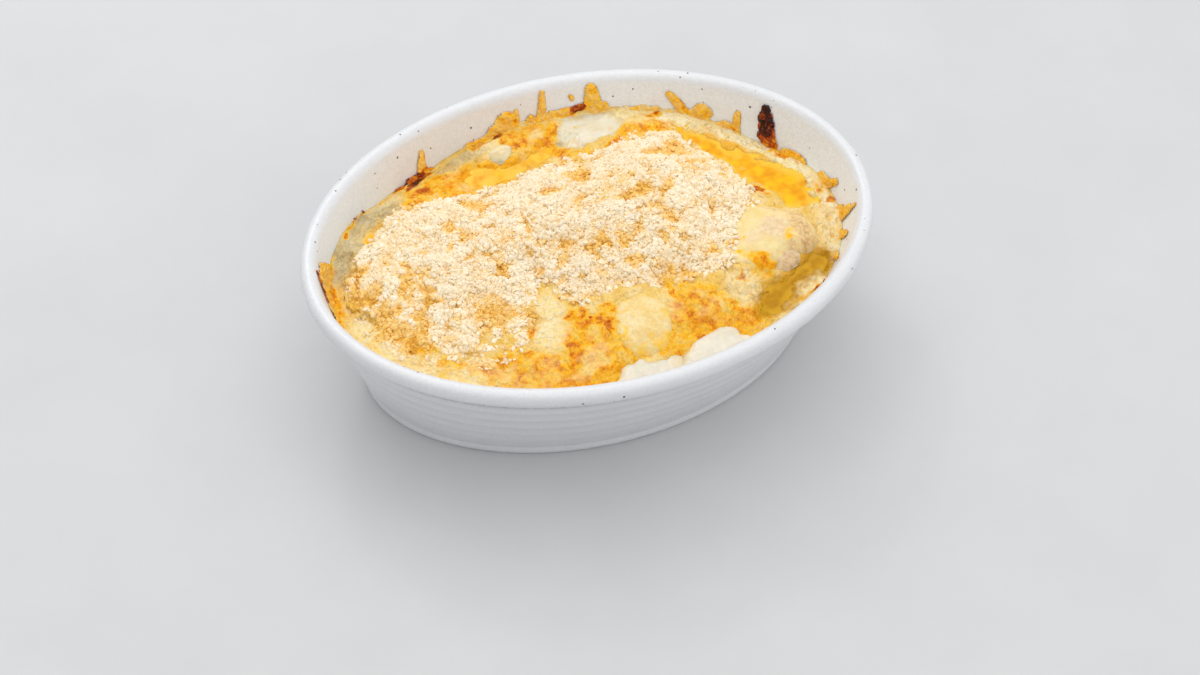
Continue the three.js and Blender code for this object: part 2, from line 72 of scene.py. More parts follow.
# Cheese splashed and run up the inner wall:
# angle round the oval, level and reach at the foot, then at the tip, and browning
SPLASHES = [
    (116.8, 41, 2.8, 115.4, 48, 1.4, 0.46), (121, 39.4, 2.4, 116, 40.6, 2.4, 0.72),
    (119, 38.6, 3.4, 114, 38.8, 2.8, 0.64), (125.6, 40.4, 1.2, 122.6, 40, 1.6, 0.66),
    (140.4, 44.2, 0.7, 139.4, 43, 0.6, 0.8), (136.8, 43.8, 0.7, 136.2, 43, 0.5, 0.7),
    (147.5, 42.8, 0.8, 146.5, 42, 0.6, 0.72), (152, 43.4, 0.5, 150, 42, 0.8, 0.5),
    (105, 40.8, 2.6, 99, 41.8, 2.8, 0.44), (96.4, 43.4, 4.2, 94.6, 47, 3.6, 0.4),
    (92.6, 43, 2.4, 91.6, 49, 1.2, 0.44), (89, 43.4, 2.6, 88.6, 45.6, 1.5, 0.42),
    (86.4, 43.4, 3.4, 86, 46.4, 1.7, 0.42), (86, 46, 2, 85.4, 53.6, 1.4, 0.44),
    (80, 44, 3, 84, 44, 2.6, 0.4), (79, 49.8, 1.2, 79.2, 50.6, 0.9, 0.6),
    (79, 45.2, 1.6, 76.6, 46.6, 1.3, 0.72), (74.4, 45, 4.6, 74.8, 52, 2.6, 0.46),
    (71.6, 43.6, 3, 71.8, 46, 1.6, 0.46), (66, 43.4, 2, 60, 43.8, 1.6, 0.36),
    (53, 43.6, 2.4, 57, 49.8, 1.6, 0.44), (50, 41.4, 4.8, 48.6, 44.4, 4, 0.44),
    (44, 40.6, 2.4, 42, 41.6, 2, 0.36), (39.2, 40.6, 2.2, 39.4, 46.6, 1.4, 0.36),
    (28.2, 40.2, 3.4, 30, 43, 4, 0.68), (30.2, 43.6, 3.9, 31.6, 49, 2.8, 0.84),
    (31.6, 48.6, 2.6, 32, 51.6, 1.9, 0.93), (22.5, 39, 3, 15.8, 39.8, 2.6, 0.46),
    (6, 40.6, 3, 2.6, 41.6, 2.6, 0.46), (1, 42, 2, -1.5, 45.4, 1.5, 0.3),
    (350, 41, 1.8, 349, 43.4, 1.1, 0.4), (345.6, 41, 2.2, 342.6, 52.4, 0.9, 0.48),
    (347.4, 41, 2.2, 345.4, 48, 1.2, 0.44), (338.8, 40.6, 2.4, 334.8, 46.8, 1.4, 0.48),
    (331.4, 40, 2.3, 326.4, 45, 1.3, 0.56), (322, 40.8, 1.5, 305, 44.4, 1.3, 0.66),
    (310, 42.6, 0.9, 306, 48, 0.6, 0.66), (163, 44.4, 4.6, 165.4, 49.4, 3, 0.42),
    (168, 43.4, 4.6, 168.4, 49.6, 2.2, 0.44), (173.6, 42.6, 4, 171.6, 47.4, 2, 0.48),
    (180, 41.6, 3.2, 177, 45, 2, 0.46), (186, 41.6, 2.4, 183, 43.6, 1.6, 0.46),
    (176, 47, 0.9, 169, 53.6, 0.8, 0.7), (212, 44, 2.4, 209, 46.6, 1.4, 0.42),
    (236, 44, 2.8, 233, 48, 1.4, 0.46), (262, 44.4, 2.2, 262, 46, 1.4, 0.44),
    (284, 44, 2.4, 287, 47.6, 1.2, 0.5),
]

# Outlines of the toppings on the plan
MOZZARELLA_BACK = [
    [7.8, 47.6], [12, 43], [22, 42.6], [30, 46.8], [35, 52.8], [32, 59], [24, 61], [14, 61.4],
    [8.4, 57.2],
]
MOZZARELLA_FRONT_LEFT = [
    [-14, -63], [-12, -57.5], [-7, -54], [-1, -54.6], [5, -55.2], [9.6, -57.6], [10.4, -62], [4, -66],
    [-8, -66],
]
MOZZARELLA_FRONT_RIGHT = [
    [9, -63], [9.4, -59], [12.4, -56.8], [16, -54.4], [22, -52.4], [28, -51], [33, -54], [34, -60],
    [26, -65], [16, -66],
]
MELTED_CHEESE_ROUND = [
    [12.2, -46.6], [13, -38], [7.8, -30], [-1, -30.4], [-7.6, -38], [-8.6, -47.8], [-3.8, -55],
    [5.2, -54.8],
]
CHEESE_PEARL = [[-19, 53], [-15, 57.4], [-10, 55.4], [-9.6, 50.6], [-13.6, 48], [-18, 49.6]]
FILLING = [
    [50, -18], [56, -14], [62, -16], [65, -21], [67.4, -25.6], [67, -29.4], [63, -32.4], [58, -33.8],
    [53, -30],
]
PASTA_FOLD = [
    [42, -27], [42.6, -19], [48, -9.5], [55.5, -4.6], [64, -6.4], [72, -10.4], [76.4, -18], [75.6, -25],
    [71.4, -27.4], [66, -28], [60.6, -30.4], [55.4, -32.4], [51, -31.4], [46, -29],
]
OIL_BACK_RIGHT = [
    [50.6, 46], [55, 40], [62, 30], [69, 21.6], [76, 14.6], [82, 7], [82.4, -3], [78.6, -7.6], [74, -4],
    [69.6, 4], [65, 13], [60.4, 22], [55, 31], [50.6, 39],
]
OIL_BACK_LEFT = [
    [-28, 45], [-22, 48.4], [-13, 47.4], [-4, 49], [3, 52], [7, 51], [6, 47.6], [-1, 45], [-10, 43],
    [-20, 41.4], [-27, 41.4],
]
OIL_FRONT_RIGHT = [
    [70, -29.6], [74.6, -30], [72, -35], [64, -36.6], [59, -40], [54, -45], [47, -48.6], [43.6, -47],
    [46, -43], [52, -39], [58, -37], [64, -34],
]
OIL_LEVELS = {"oil_back_right": 43.4, "oil_back_left": 43.4, "oil_front_right": 43.0}

# Heap of grated cheese: ragged outline, and the ridge it rises to
HEAP = [
    [-80, 16], [-70, 26], [-60, 34.6], [-46, 37], [-34, 33.6], [-20, 33], [-2, 36], [20, 37.6], [38, 41],
    [46, 39], [50, 32], [57, 20], [60, 10], [58, -1.6], [53, -7], [47, -14], [42, -23], [37, -28],
    [28, -29], [14, -28.6], [0, -25], [-9, -26.6], [-17.6, -24], [-21, -15], [-23, -9.6], [-27.6, -18],
    [-31, -28], [-37, -33.6], [-48, -35.6], [-60, -31], [-70, -22], [-79, -10], [-86, 2],
]
RIDGE_START = (-58, 2)
RIDGE_END = (42, 11)
RIDGE_LEVELS = (52.6, 60.4, 57.4)  # at its start, at its top and at its end
RIDGE_TOP = 0.78  # share of the ridge's length
HEAP_EDGE_LEVEL = 47.6
HEAP_FLOOR = 45.2
HEAP_TOP = 60.7
LOOSE_CRUMBS_REACH = 6  # past the heap's outline
# Where the grated cheese has started to melt: x, y, reach, reach, turn, strength
HALF_MELTED = [
    (-64, -28, 9, 5, 25, 0.8), (-79, -13, 5, 6, -25, 0.8), (-73, -21, 6, 5, 0, 0.9),
    (-54, -39, 7, 4, -20, 0.7), (-85, 2, 3, 4, 0, 0.5), (-44, -41, 4, 2.4, -20, 0.4),
]

# Colour of the bake: x, y, reach, reach, turn and strength of each patch
GOLDEN_SPOTS = [
    (-40, -49, 26, 10, -18, 0.4), (-17, -48, 20, 16, 0, 0.38), (21, -46, 16, 14, 0, 0.4),
    (34, -50, 14, 8, 10, 0.45), (-72, -18, 12, 12, 0, 0.31), (-30, 43, 26, 9, 10, 0.38),
    (40, 45, 14, 6, 0, 0.4), (49, -31, 8, 8, 0, 0.27), (-19, 61, 5, 3, 0, 0.43), (-8, 57, 8, 6, 20, 0.47),
    (-12, 62, 3, 1.5, 20, 0.8), (-34, 43, 6, 4, 10, 0.43), (-24, 42, 7, 4.5, 15, 0.39),
    (-17, 38, 5, 2.5, 0, 0.43), (-33, 31, 4, 3, 0, 0.45), (-26, 33, 4.5, 2.6, 10, 0.47),
    (-25, 31, 2.2, 1.6, 0, 0.72), (-33, 27, 2, 2, 0, 0.45), (-46, 45, 6, 3.5, 20, 0.6),
    (-43, 42, 4, 3, 0, 0.47), (-52, 40, 2.5, 2, 0, 0.43), (-65, 26, 5, 3.5, 30, 0.43),
    (-70, 29, 4, 3, 30, 0.39), (-39, 48, 6, 4, 0, 0.43), (-44, 53, 5, 2, 25, 0.82),
    (-48, 51, 3, 1.6, 30, 0.76), (-41, 54, 2.6, 1.8, 0, 0.8), (23, 67, 4, 1.6, 0, 0.86),
    (13, 64, 10, 2.2, 5, 0.6), (8, 58, 3.2, 5, 0, 0.43), (1, 61, 6, 3, 0, 0.43), (29, 65, 3, 2, 0, 0.47),
    (2, 51, 7, 5, 10, 0.47), (6, 45, 4, 3, 0, 0.45), (11, 41, 7, 1.8, -10, 0.39),
    (14, 38, 4, 1.8, -10, 0.39), (26, 41, 5, 2.4, 20, 0.43), (33, 44, 7, 4, 20, 0.45),
    (42, 46, 6, 3.6, 5, 0.43), (45, 52, 4.5, 2, 10, 0.6), (40, 43, 6, 3, 10, 0.39),
    (82, 22, 4.4, 3, -50, 0.49), (80, 26, 2.4, 2.4, 0, 0.49), (89, 18, 2, 1.4, 0, 0.45),
    (65, 5, 3.4, 2.2, -10, 0.72), (67, 1, 2.4, 1.8, 0, 0.43), (60, 9, 1.4, 1, 0, 0.43),
    (87, 0, 2.6, 4.4, 0, 0.43), (89, -6, 3.4, 1.4, 20, 0.47), (92, 4, 2, 4, 0, 0.34),
    (-76, -7, 4, 3, 0, 0.4), (-71, -7, 3, 2, 0, 0.4), (-75, -15, 6, 5, 0, 0.4), (-72, -23, 5, 5, 0, 0.4),
    (-66, -23, 3, 5, 0, 0.47), (-68, -11, 3, 2, 0, 0.45), (-81, 4, 6, 3, -20, 0.45),
    (-64, -34, 4.5, 3, -20, 0.4), (-60, -38, 4, 2.4, -10, 0.47), (-56, -41, 5, 3, -20, 0.39),
    (-46, -42, 4, 3.6, 20, 0.47), (-38, -45, 6, 4, 0, 0.43), (-38, -42, 4.2, 2, 0, 0.5),
    (-36, -34, 3, 3, 20, 0.6), (-34, -52, 12, 6, -8, 0.4), (-28, -51, 6, 4, 0, 0.46),
    (-40, -51, 6, 3, -12, 0.43), (-29, -56, 10, 3, -8, 0.45), (-23, -44, 4, 4, 0, 0.47),
    (-21, -47, 4, 3.4, 0, 0.4), (-16, -56, 7, 4, 0, 0.47), (-14, -58, 4, 2.4, 0, 0.4),
    (-18, -32, 5, 2, 0, 0.6), (-14, -35, 1.3, 1.1, 0, 0.86), (-8, -33, 4, 3.4, 0, 0.48),
    (-11, -39, 7, 4, 60, 0.47), (-17, -36, 5.5, 3, 0, 0.48), (-13, -45, 2.6, 4.4, 15, 0.43),
    (-11, -42, 3, 3, 0, 0.5), (-7, -36, 3, 5, 0, 0.43), (8, -54, 5, 3, 0, 0.46),
    (9, -57, 2.4, 2.6, 0, 0.46), (0, -53, 5, 1.6, 0, 0.47), (14, -51, 4, 1.6, 0, 0.47),
    (21, -52, 2.2, 3, 0, 0.6), (24, -49, 5, 3.2, 20, 0.45), (31, -51, 5, 3.4, 0, 0.48),
    (34, -53, 6, 3.4, 0, 0.46), (40, -54, 6, 2, 20, 0.41), (35, -48, 5, 2.4, 0, 0.43),
    (16, -30, 1.8, 3.4, 0, 0.47), (16, -36, 2.2, 5, 0, 0.49), (23, -41, 3, 5, 20, 0.47),
    (19, -46, 3, 5, 0, 0.49), (34, -43, 4, 2.4, 0, 0.43), (28, -45, 3, 5, 0, 0.45),
    (74, -34, 3, 0.9, 25, 0.6), (67, -42, 5, 0.8, 20, 0.7), (57, -47, 6, 1.2, 22, 0.43),
    (84, -24, 4, 1, 30, 0.43), (-90, 11, 2.2, 16, 0, 0.47), (-89, 22, 2.4, 4, 0, 0.47),
    (-78, 33, 2, 1.2, 50, 0.72), (-71, 42, 2, 1, 55, 0.85), (-67, 45, 1.4, 1, 40, 0.75),
    (-53, 51, 3, 1.6, 25, 0.72), (-75, 37, 3, 0.7, 50, 0.6), (-59, 47, 4, 0.7, 20, 0.43),
]
OIL_SPOTS = [
    (-13, 46, 10, 3, 5, 1), (-24, 47, 9, 4, 10, 0.8), (-5, 44, 6, 5, 0, 0.8), (-18, 40, 8, 4, 10, 0.5),
    (0, 50, 6, 5, 0, 0.6), (53, 39, 4, 4, 0, 0.9), (59, 34, 5, 5, -40, 1), (65, 28, 6, 5, -45, 1),
    (71, 20, 6, 5, -50, 1), (76, 11, 6, 6, -60, 1), (77, 2, 5, 6, 0, 1), (76, -4, 4, 4, 0, 1),
    (48, -46, 7, 3.6, 20, 1), (55, -42, 7, 3.4, 40, 1), (61, -36, 6, 3.4, 40, 1), (69, -31, 6, 3, 20, 1),
    (53, -48, 5, 2, 20, 0.7), (61, -45, 6, 1.5, 20, 0.7), (74, -28, 3, 3, 0, 0.7),
    (77, -23, 3, 5, 10, 0.5), (83, -11, 3, 5, 20, 0.4), (-30, -54, 14, 5, -8, 0.45),
    (-46, -43, 5, 4, 0, 0.45), (-14, -57, 8, 3, 0, 0.55), (23, -48, 6, 6, 0, 0.4),
    (34, -52, 8, 4, 0, 0.4), (8, -55, 5, 4, 0, 0.4), (-35, 52, 7, 2.6, 15, 0.3),
    (-73, -27, 8, 8, 0, 0.25), (19, -39, 5, 8, 0, 0.25),
]
SAUCE_SPOTS = [
    (-82, 21, 5, 10, -25, 1), (-77, 29, 5, 7, -30, 1), (-69, 38, 6, 5, 30, 1), (-61, 40, 7, 5, 10, 1),
    (-56, 38, 4, 5, 0, 0.8), (-74, 31, 5, 6, -30, 0.9), (-83, 12, 2.5, 6, -15, 0.7),
    (-35, 52, 8, 3.5, 15, 0.8), (-27, 55, 8, 3.2, 12, 0.8), (-40, 41, 6, 2, 0, 0.3),
    (51, -47, 3, 1.2, 0, 0.3),
]
CREAM_SPOTS = [
    (-61, 45, 6, 3, 20, 0.5), (57, 48, 7, 4, -20, 0.6), (65, 42, 8, 5, -40, 0.6),
    (73, 34, 9, 6, -45, 0.7), (81, 31, 5, 4, -50, 0.6), (37, 56, 7, 2, 0, 0.7), (49, 52, 5, 2, 0, 0.5),
    (84, 12, 5, 5, 0, 0.9), (88, 6, 4, 4, 0, 0.7), (82, -10, 3, 6, 0, 0.5), (81, -19, 3, 6, -15, 0.5),
    (75, -32, 6, 2, 30, 0.6), (63, -40, 8, 2, 22, 0.6), (45, -37, 4, 2.4, 0, 0.8),
    # The spot at (46, -43) is a painted highlight.
    (46, -43, 3.4, 1.4, 0, 0.8), (53, -47, 2, 1, 0, 0.8), (61, -43, 3, 1, 20, 0.9),
    (-84, -10, 4, 8, 15, 0.7), (-79, -22, 5, 7, 30, 0.7), (-71, -34, 7, 5, 40, 0.6),
    (-62, -42, 7, 4, 35, 0.6), (-53, -47, 7, 3, 28, 0.5), (-50, -42, 3, 3, 0, 0.6),
    (41, -38, 6, 5, 0, 0.5), (37, -36, 4, 4, 0, 0.4), (-16, 53, 6, 2, 0, 0.3), (66, 4, 4, 3, 0, 0.3),
    (-25, -60, 8, 2, 0, 0.5), (5, -53, 4, 1, 0, 0.2), (-29, -36, 6, 8, -20, 0.75),
    (-25, -27, 5, 8, -10, 0.7), (-20, -51, 5, 4, 0, 0.6), (-16, -52, 3, 5, -10, 0.5),
    (-37, -54, 5, 2.4, -10, 0.5), (-26, -54, 4, 3, 0, 0.5), (-47, -46, 4, 3, 0, 0.6),
    (-33, -47, 3, 2, 0, 0.4), (12, -61, 5, 3, 0, 1), (13, -39, 5, 8, 0, 0.4), (-56, -45, 6, 3, 25, 0.5),
    (23, -44, 2.4, 3, 0, 0.4), (27, -47, 2, 2, 0, 0.4),
]
# Gaps in the heap: x, y, reach, reach, turn, strength. They sink the heap a little, and the golden tint given
# to them is painted shade.
HEAP_GAPS = [
    (-70, 12, 1.6, 2.6, 0, 0.7), (-45, 19, 3.2, 3.4, 0, 0.7), (-41, 10, 3.4, 3, 30, 0.6),
    (-48, 9, 1.6, 5, -20, 0.5), (-59, 2, 3, 2, 20, 0.6), (-44, 1, 3.6, 1.6, 0, 0.6),
    (-37, -1, 2, 2, 0, 0.4), (-18, -2, 2.6, 2, 20, 0.6), (-85, 1, 4, 3.2, 0, 0.7),
    (-80, -1, 3.4, 2.6, -30, 0.8), (-76, -5, 2.4, 1.8, -20, 0.9), (-77, 2, 3, 2.4, 0, 0.5),
    (-77, -8, 3.6, 3, 0, 0.7), (-72, -9, 2.4, 3, 0, 0.6), (-75, -16, 4, 4, 0, 0.7),
    (-72, -23, 4, 4, 0, 0.7), (-67, -24, 3, 4.6, 0, 0.7), (-69, -14, 2.4, 2, 0, 0.6),
    (-60, -10, 3, 2.4, 0, 0.8), (-53, -13, 1.6, 1.4, 0, 0.9), (-53, -16, 1.4, 1.2, 0, 0.9),
    (-56, -21, 2.4, 2, 0, 0.6), (-49, -30, 3.4, 2, 20, 0.9), (-47, -27, 3, 1.6, 20, 0.5),
    (-53, -33, 3, 2, 0, 0.6), (-23, -10, 2.4, 1.6, 0, 0.8), (-16, -12, 3, 2.4, 0, 0.7),
    (-14, -11, 2, 2, 0, 0.6), (-10, -18, 1.4, 1.6, 0, 0.8), (-17, -18, 2.6, 1.6, 0, 0.6),
    (-17, -22, 3, 1.4, 0, 0.7), (-11, -26, 3, 2, 0, 0.7), (-30, -26, 1.6, 4.4, -10, 0.6),
    (-26, -18, 1.6, 3, -20, 0.4), (-33, -6, 3, 1.6, 0, 0.4), (-23, -4, 2, 1.4, 0, 0.5),
    (-31, 3, 2.6, 1.6, 0, 0.3), (1, -10, 3, 1.6, 0, 0.5), (8, -11, 1.6, 2.4, 0, 0.4),
    (21, -14, 1.6, 3, 0, 0.6), (25, -12, 2, 1.6, 0, 0.5), (-0, -18, 2, 1.4, 0, 0.5),
    (10, -19, 4, 2.2, -20, 0.8), (2, -24, 2, 2.2, 0, 0.8), (7, -25, 2, 2.4, 0, 0.7),
    (15, -23, 2, 2, 0, 0.6), (16, -28, 1.8, 2.4, 0, 0.7), (19, -26, 2.4, 1.6, 0, 0.7),
    (24, -27, 2, 3, 0, 0.7), (25, -27, 1.4, 2.6, 0, 0.7), (36, -21, 2, 1.4, 0, 0.8),
    (43, -19, 1.6, 1.6, 0, 0.9), (33, -21, 1.6, 1.2, 0, 0.7), (28, -16, 2, 1.4, 0, 0.5),
    (35, -30, 3, 1.6, 0, 0.5), (15, 6, 6, 3, 0, 0.6), (21, 7, 5, 2.4, 10, 0.6), (19, 13, 4, 1.6, 20, 0.5),
    (27, 12, 3, 1.6, 10, 0.4), (7, 11, 4, 2, 0, 0.4), (16, 17, 5, 1.4, 0, 0.3), (4, 6, 3, 1.6, 0, 0.35),
    (28, 5, 3, 1.4, 0, 0.35), (22, -1, 2, 1.4, 0, 0.4), (14, -1, 3, 1.2, 0, 0.35),
    (54, 10, 2, 1.4, 0, 0.4), (49, 23, 2, 1.4, 0, 0.3), (45, 34, 1.4, 2, 0, 0.3),
    (37, -4, 2, 1.4, 0, 0.3), (1, -8, 2, 1.4, 0, 0.5), (-4, -10, 4, 1.6, 0, 0.5), (-5, -19, 2, 2, 0, 0.4),
]

# Browned, pinkish and striped places of the folded sheet
FOLD_BROWNING = [
    (51, -28.8, 8.4, 1.9, -33, 0.4), (65, -22.6, 3.6, 2.4, 30, 0.22), (47, -20, 3, 2, 20, 0.26),
]
FOLD_THIN = [(60, -19, 6, 5, 20, 0.6), (53, -21, 5, 3, 10, 0.35), (66, -26, 4, 2.4, 20, 0.4)]
FOLD_STRIPED = [(72, -18, 5.5, 9, -10, 0.9), (68, -26.4, 7, 3.6, 30, 0.9), (66, -10, 6, 3, -30, 0.4)]

# Forms on the plan


def oval_point(angle, inset):
    """The point that lies a given inset inside the rim's outline."""
    across = np.cos(angle) / HALF_LENGTH
    up = np.sin(angle) / HALF_WIDTH
    length = np.hypot(across, up)
    return (
        HALF_LENGTH * np.cos(angle) - inset * END_TAPER * across / length,
        HALF_WIDTH * np.sin(angle) - inset * SIDE_TAPER * up / length,
    )


def inner_inset(level):
    """How far the inner wall stands in from the rim's outline."""
    return RIM_TOP_WIDTH + INNER_SLOPE * (DISH_HEIGHT - level)


def edge_level(angle):
    """Level at which the bake meets the wall."""
    place = (angle / (2 * np.pi) * len(EDGE_LEVELS)) % len(EDGE_LEVELS)
    index = np.floor(place).astype(int)
    share = (1 - np.cos((place - index) * np.pi)) / 2
    here = EDGE_LEVELS[index % len(EDGE_LEVELS)]
    return here + (EDGE_LEVELS[(index + 1) % len(EDGE_LEVELS)] - here) * share


def fade(value, low, high):
    """From 0 at low to 1 at high, soft at both ends."""
    share = np.clip((value - low) / (high - low), 0, 1)
    return share * share * (3 - 2 * share)


def lumps(x, y, size, seed):
    """Soft noise from -1 to 1 with lumps of about this size."""
    table = np.random.default_rng(seed).uniform(-1, 1, (256, 256))
    turn = 0.7 + seed
    across = (x * math.cos(turn) + y * math.sin(turn)) / size + 500.3
    up = (y * math.cos(turn) - x * math.sin(turn)) / size + 500.7
    column, row = np.floor(across).astype(int), np.floor(up).astype(int)
    right, top = fade(across - column, 0, 1), fade(up - row, 0, 1)
    column, row = column % 256, row % 256
    next_column, next_row = (column + 1) % 256, (row + 1) % 256
    lower = table[column, row] * (1 - right) + table[next_column, row] * right
    upper = table[column, next_row] * (1 - right) + table[next_column, next_row] * right
    return lower * (1 - top) + upper * top


def layered_lumps(x, y, size, seed, layers=3):
    """Lumps with smaller lumps on them."""
    total, strength = 0.0, 1.0
    for layer in range(layers):
        total = total + strength * lumps(x, y, size, seed + layer)
        size, strength = size * 0.48, strength * 0.55
    return total


def clods(x, y, size, seed):
    """Rounded clods packed side by side, from 0 in the seams to 1 on top."""
    table = np.random.default_rng(seed).random((64, 64, 4))
    x, y = x / size + 300, y / size + 300
    tallest = np.zeros(x.shape)
    for step_x in (-1, 0, 1):
        for step_y in (-1, 0, 1):
            column, row = np.floor(x) + step_x, np.floor(y) + step_y
            shift_x, shift_y, reach, height = table[column.astype(int) % 64, row.astype(int) % 64].T
            away = np.hypot(x - column - shift_x, y - row - shift_y) / (0.6 + 0.45 * reach)
            tallest = np.maximum(tallest, (0.45 + 0.55 * height) * np.sqrt(np.clip(1 - away**2, 0, 1)))
    return tallest


def smooth_outline(corners, count):
    """A smooth closed outline through a few corners, at even steps, going round against the clock."""
    corners = np.array(corners, float)
    after = np.roll(corners, -1, axis=0)
    if np.sum(corners[:, 0] * after[:, 1] - after[:, 0] * corners[:, 1]) < 0:
        corners = corners[::-1]
    share = np.linspace(0, 1, 16, endpoint=False)[:, None]
    dense = []
    for i in range(len(corners)):
        a, b, c, d = (corners[(i + k) % len(corners)] for k in (-1, 0, 1, 2))
        first, middle, last = (np.linalg.norm(q - p) ** 0.5 for p, q in ((a, b), (b, c), (c, d)))
        leaving = ((b - a) / first - (c - a) / (first + middle) + (c - b) / middle) * middle
        arriving = ((c - b) / middle - (d - b) / (middle + last) + (d - c) / last) * middle
        dense.append(
            b * (2 * share**3 - 3 * share**2 + 1) + leaving * (share**3 - 2 * share**2 + share)
            + c * (3 * share**2 - 2 * share**3) + arriving * (share**3 - share**2)
        )
    dense = np.concatenate(dense)
    closed = np.vstack([dense, dense[:1]])
    walked = np.concatenate([[0], np.cumsum(np.linalg.norm(np.diff(closed, axis=0), axis=1))])
    steps = np.linspace(0, walked[-1], count, endpoint=False)
    return np.stack([np.interp(steps, walked, closed[:, k]) for k in (0, 1)], axis=1)


def depth_inside(x, y, outline):
    """Distance in from an outline, below 0 outside it."""
    nearest = np.full(x.shape, 1e9)
    inside = np.zeros(x.shape, bool)
    for (ax, ay), (bx, by) in zip(outline, np.roll(outline, -1, axis=0)):
        span_x, span_y = bx - ax, by - ay
        along = np.clip(((x - ax) * span_x + (y - ay) * span_y) / (span_x**2 + span_y**2), 0, 1)
        nearest = np.minimum(nearest, np.hypot(x - ax - span_x * along, y - ay - span_y * along))
        crosses = (ay > y) != (by > y)
        if span_y:
            inside ^= crosses & (x < ax + span_x * (y - ay) / span_y)
    return np.where(inside, nearest, -nearest)


def patches(x, y, spots, ragged=1.0):
    """Strength of soft-edged patches with ragged rims. Each is x, y, reach, reach, turn, strength."""
    x, y = (
        x + ragged * (1.5 * lumps(x, y, 5.2, 11) + 0.7 * lumps(x, y, 1.9, 12)),
        y + ragged * (1.5 * lumps(x, y, 5.2, 13) + 0.7 * lumps(x, y, 1.9, 14)),
    )
    total = np.zeros(x.shape)
    for spot_x, spot_y, reach, other_reach, turn, strength in spots:
        turn = math.radians(turn)
        along = ((x - spot_x) * math.cos(turn) + (y - spot_y) * math.sin(turn)) / reach
        across = ((y - spot_y) * math.cos(turn) - (x - spot_x) * math.sin(turn)) / other_reach
        total = np.maximum(total, strength * (1 - fade(np.hypot(along, across), 0.5, 1.35)))
    return total


# Levels of the bake and of the heap on it

WALL_CLEARANCE = 0.12
ROUND = np.linspace(-np.pi, np.pi, 1441)
WALL_X, WALL_Y = oval_point(ROUND, inner_inset(edge_level(ROUND)) + WALL_CLEARANCE)
WALL_BEARING = np.arctan2(WALL_Y, WALL_X)
WALL_DISTANCE = np.hypot(WALL_X, WALL_Y)


def place_on_bake(x, y):
    """The oval's angle at a point, and its share of the way from the middle to the wall."""
    bearing = np.arctan2(y, x)
    angle = np.interp(bearing, WALL_BEARING, ROUND)
    return angle, np.hypot(x, y) / np.interp(bearing, WALL_BEARING, WALL_DISTANCE)


def broad_level(x, y, angle, share):
    """Level of the bake without its blisters and pools."""
    level = CROWN_LEVEL + (edge_level(angle) - CROWN_LEVEL) * share**3
    inner = 1 - np.minimum(share, 1) ** 8
    for swelling_x, swelling_y, reach_x, reach_y, height in SWELLINGS:
        far = ((x - swelling_x) / reach_x) ** 2 + ((y - swelling_y) / reach_y) ** 2
        level = level + height * np.exp(-far) * inner
    return level + 0.5 * layered_lumps(x, y, 9, 21, 2) * inner


def past_shore(x, y, corners):
    """How far inside the ragged shore of a pool a place lies."""
    return depth_inside(x, y, smooth_outline(corners, 60)) + 2.1 * layered_lumps(x, y, 4.4, 31) + 0.6


def sunk_under_pools(x, y, level):
    """Lowers the bake under each pool of oil and banks it up round it, so that the oil has a shore."""
    at_wall = fade(place_on_bake(x, y)[1], 0.88, 0.94)
    for corners, oil_level in (
        (OIL_BACK_RIGHT, OIL_LEVELS["oil_back_right"]),
        (OIL_BACK_LEFT, OIL_LEVELS["oil_back_left"]),
        (OIL_FRONT_RIGHT, OIL_LEVELS["oil_front_right"]),
    ):
        inward = past_shore(x, y, corners)
        shore = oil_level + np.where(inward > 0, -0.35 * np.minimum(inward, 3), -0.42 * inward) + 0.05
        bank = oil_level + np.where(inward > 0, -9, 0.45 - 0.35 * np.maximum(-inward - 1.6, 0)) - 6 * at_wall
        level = np.maximum(np.minimum(level, shore), np.minimum(bank, shore))
    return level


def ridge_level(along):
    start, top, end = RIDGE_LEVELS
    rising = start + (top - start) * np.sin(np.minimum(along / RIDGE_TOP, 1) * np.pi / 2)
    falling = top + (end - top) * (np.maximum(along - RIDGE_TOP, 0) / (1 - RIDGE_TOP)) ** 2
    return np.where(along < RIDGE_TOP, rising, falling)


def heap_level(x, y, to_edge, ground):
    """Level of the heap, which rises from its ragged edge to the ridge."""
    span_x, span_y = RIDGE_END[0] - RIDGE_START[0], RIDGE_END[1] - RIDGE_START[1]
    along = np.clip(
        ((x - RIDGE_START[0]) * span_x + (y - RIDGE_START[1]) * span_y) / (span_x**2 + span_y**2), 0, 1)
    to_ridge = np.hypot(x - RIDGE_START[0] - span_x * along, y - RIDGE_START[1] - span_y * along)
    share = np.clip(to_edge, 0, None) / (np.clip(to_edge, 0, None) + to_ridge + 1e-6)
    foot = np.maximum(HEAP_EDGE_LEVEL, ground)
    return foot + (ridge_level(along) - foot) * np.sin(share * np.pi / 2) ** 0.9


# Modelling


def grid_piece(name, columns, rows):
    """A flat grid from -1 to 1 both ways, ready to be shaped."""
    bpy.ops.object.select_all(action="DESELECT")
    bpy.ops.mesh.primitive_grid_add(x_subdivisions=columns, y_subdivisions=rows, size=2)
    piece = bpy.context.object
    piece.name = piece.data.name = name
    return piece


def points_of(piece):
    points = np.empty(len(piece.data.vertices) * 3)
    piece.data.vertices.foreach_get("co", points)
    return points.reshape(-1, 3)


def move_points(piece, x, y, z):
    """Places every point, given in millimetres."""
    piece.data.vertices.foreach_set("co", (np.stack([x, y, z], axis=1) * MM).ravel())
    piece.data.update()


def disc_shares(points):
    """A square grid's points as an angle round the middle and a share of the way out."""
    x, y = points[:, 0], points[:, 1]
    across = x * np.sqrt(1 - y * y / 2)
    up = y * np.sqrt(1 - x * x / 2)
    return np.arctan2(up, across), np.hypot(across, up)


def store(piece, name, values):
    """Keeps a number for each point, which the piece's finish reads."""
    layer = piece.data.attributes.new(name, "FLOAT", "POINT")
    layer.data.foreach_set("value", np.asarray(values, dtype=np.float32))


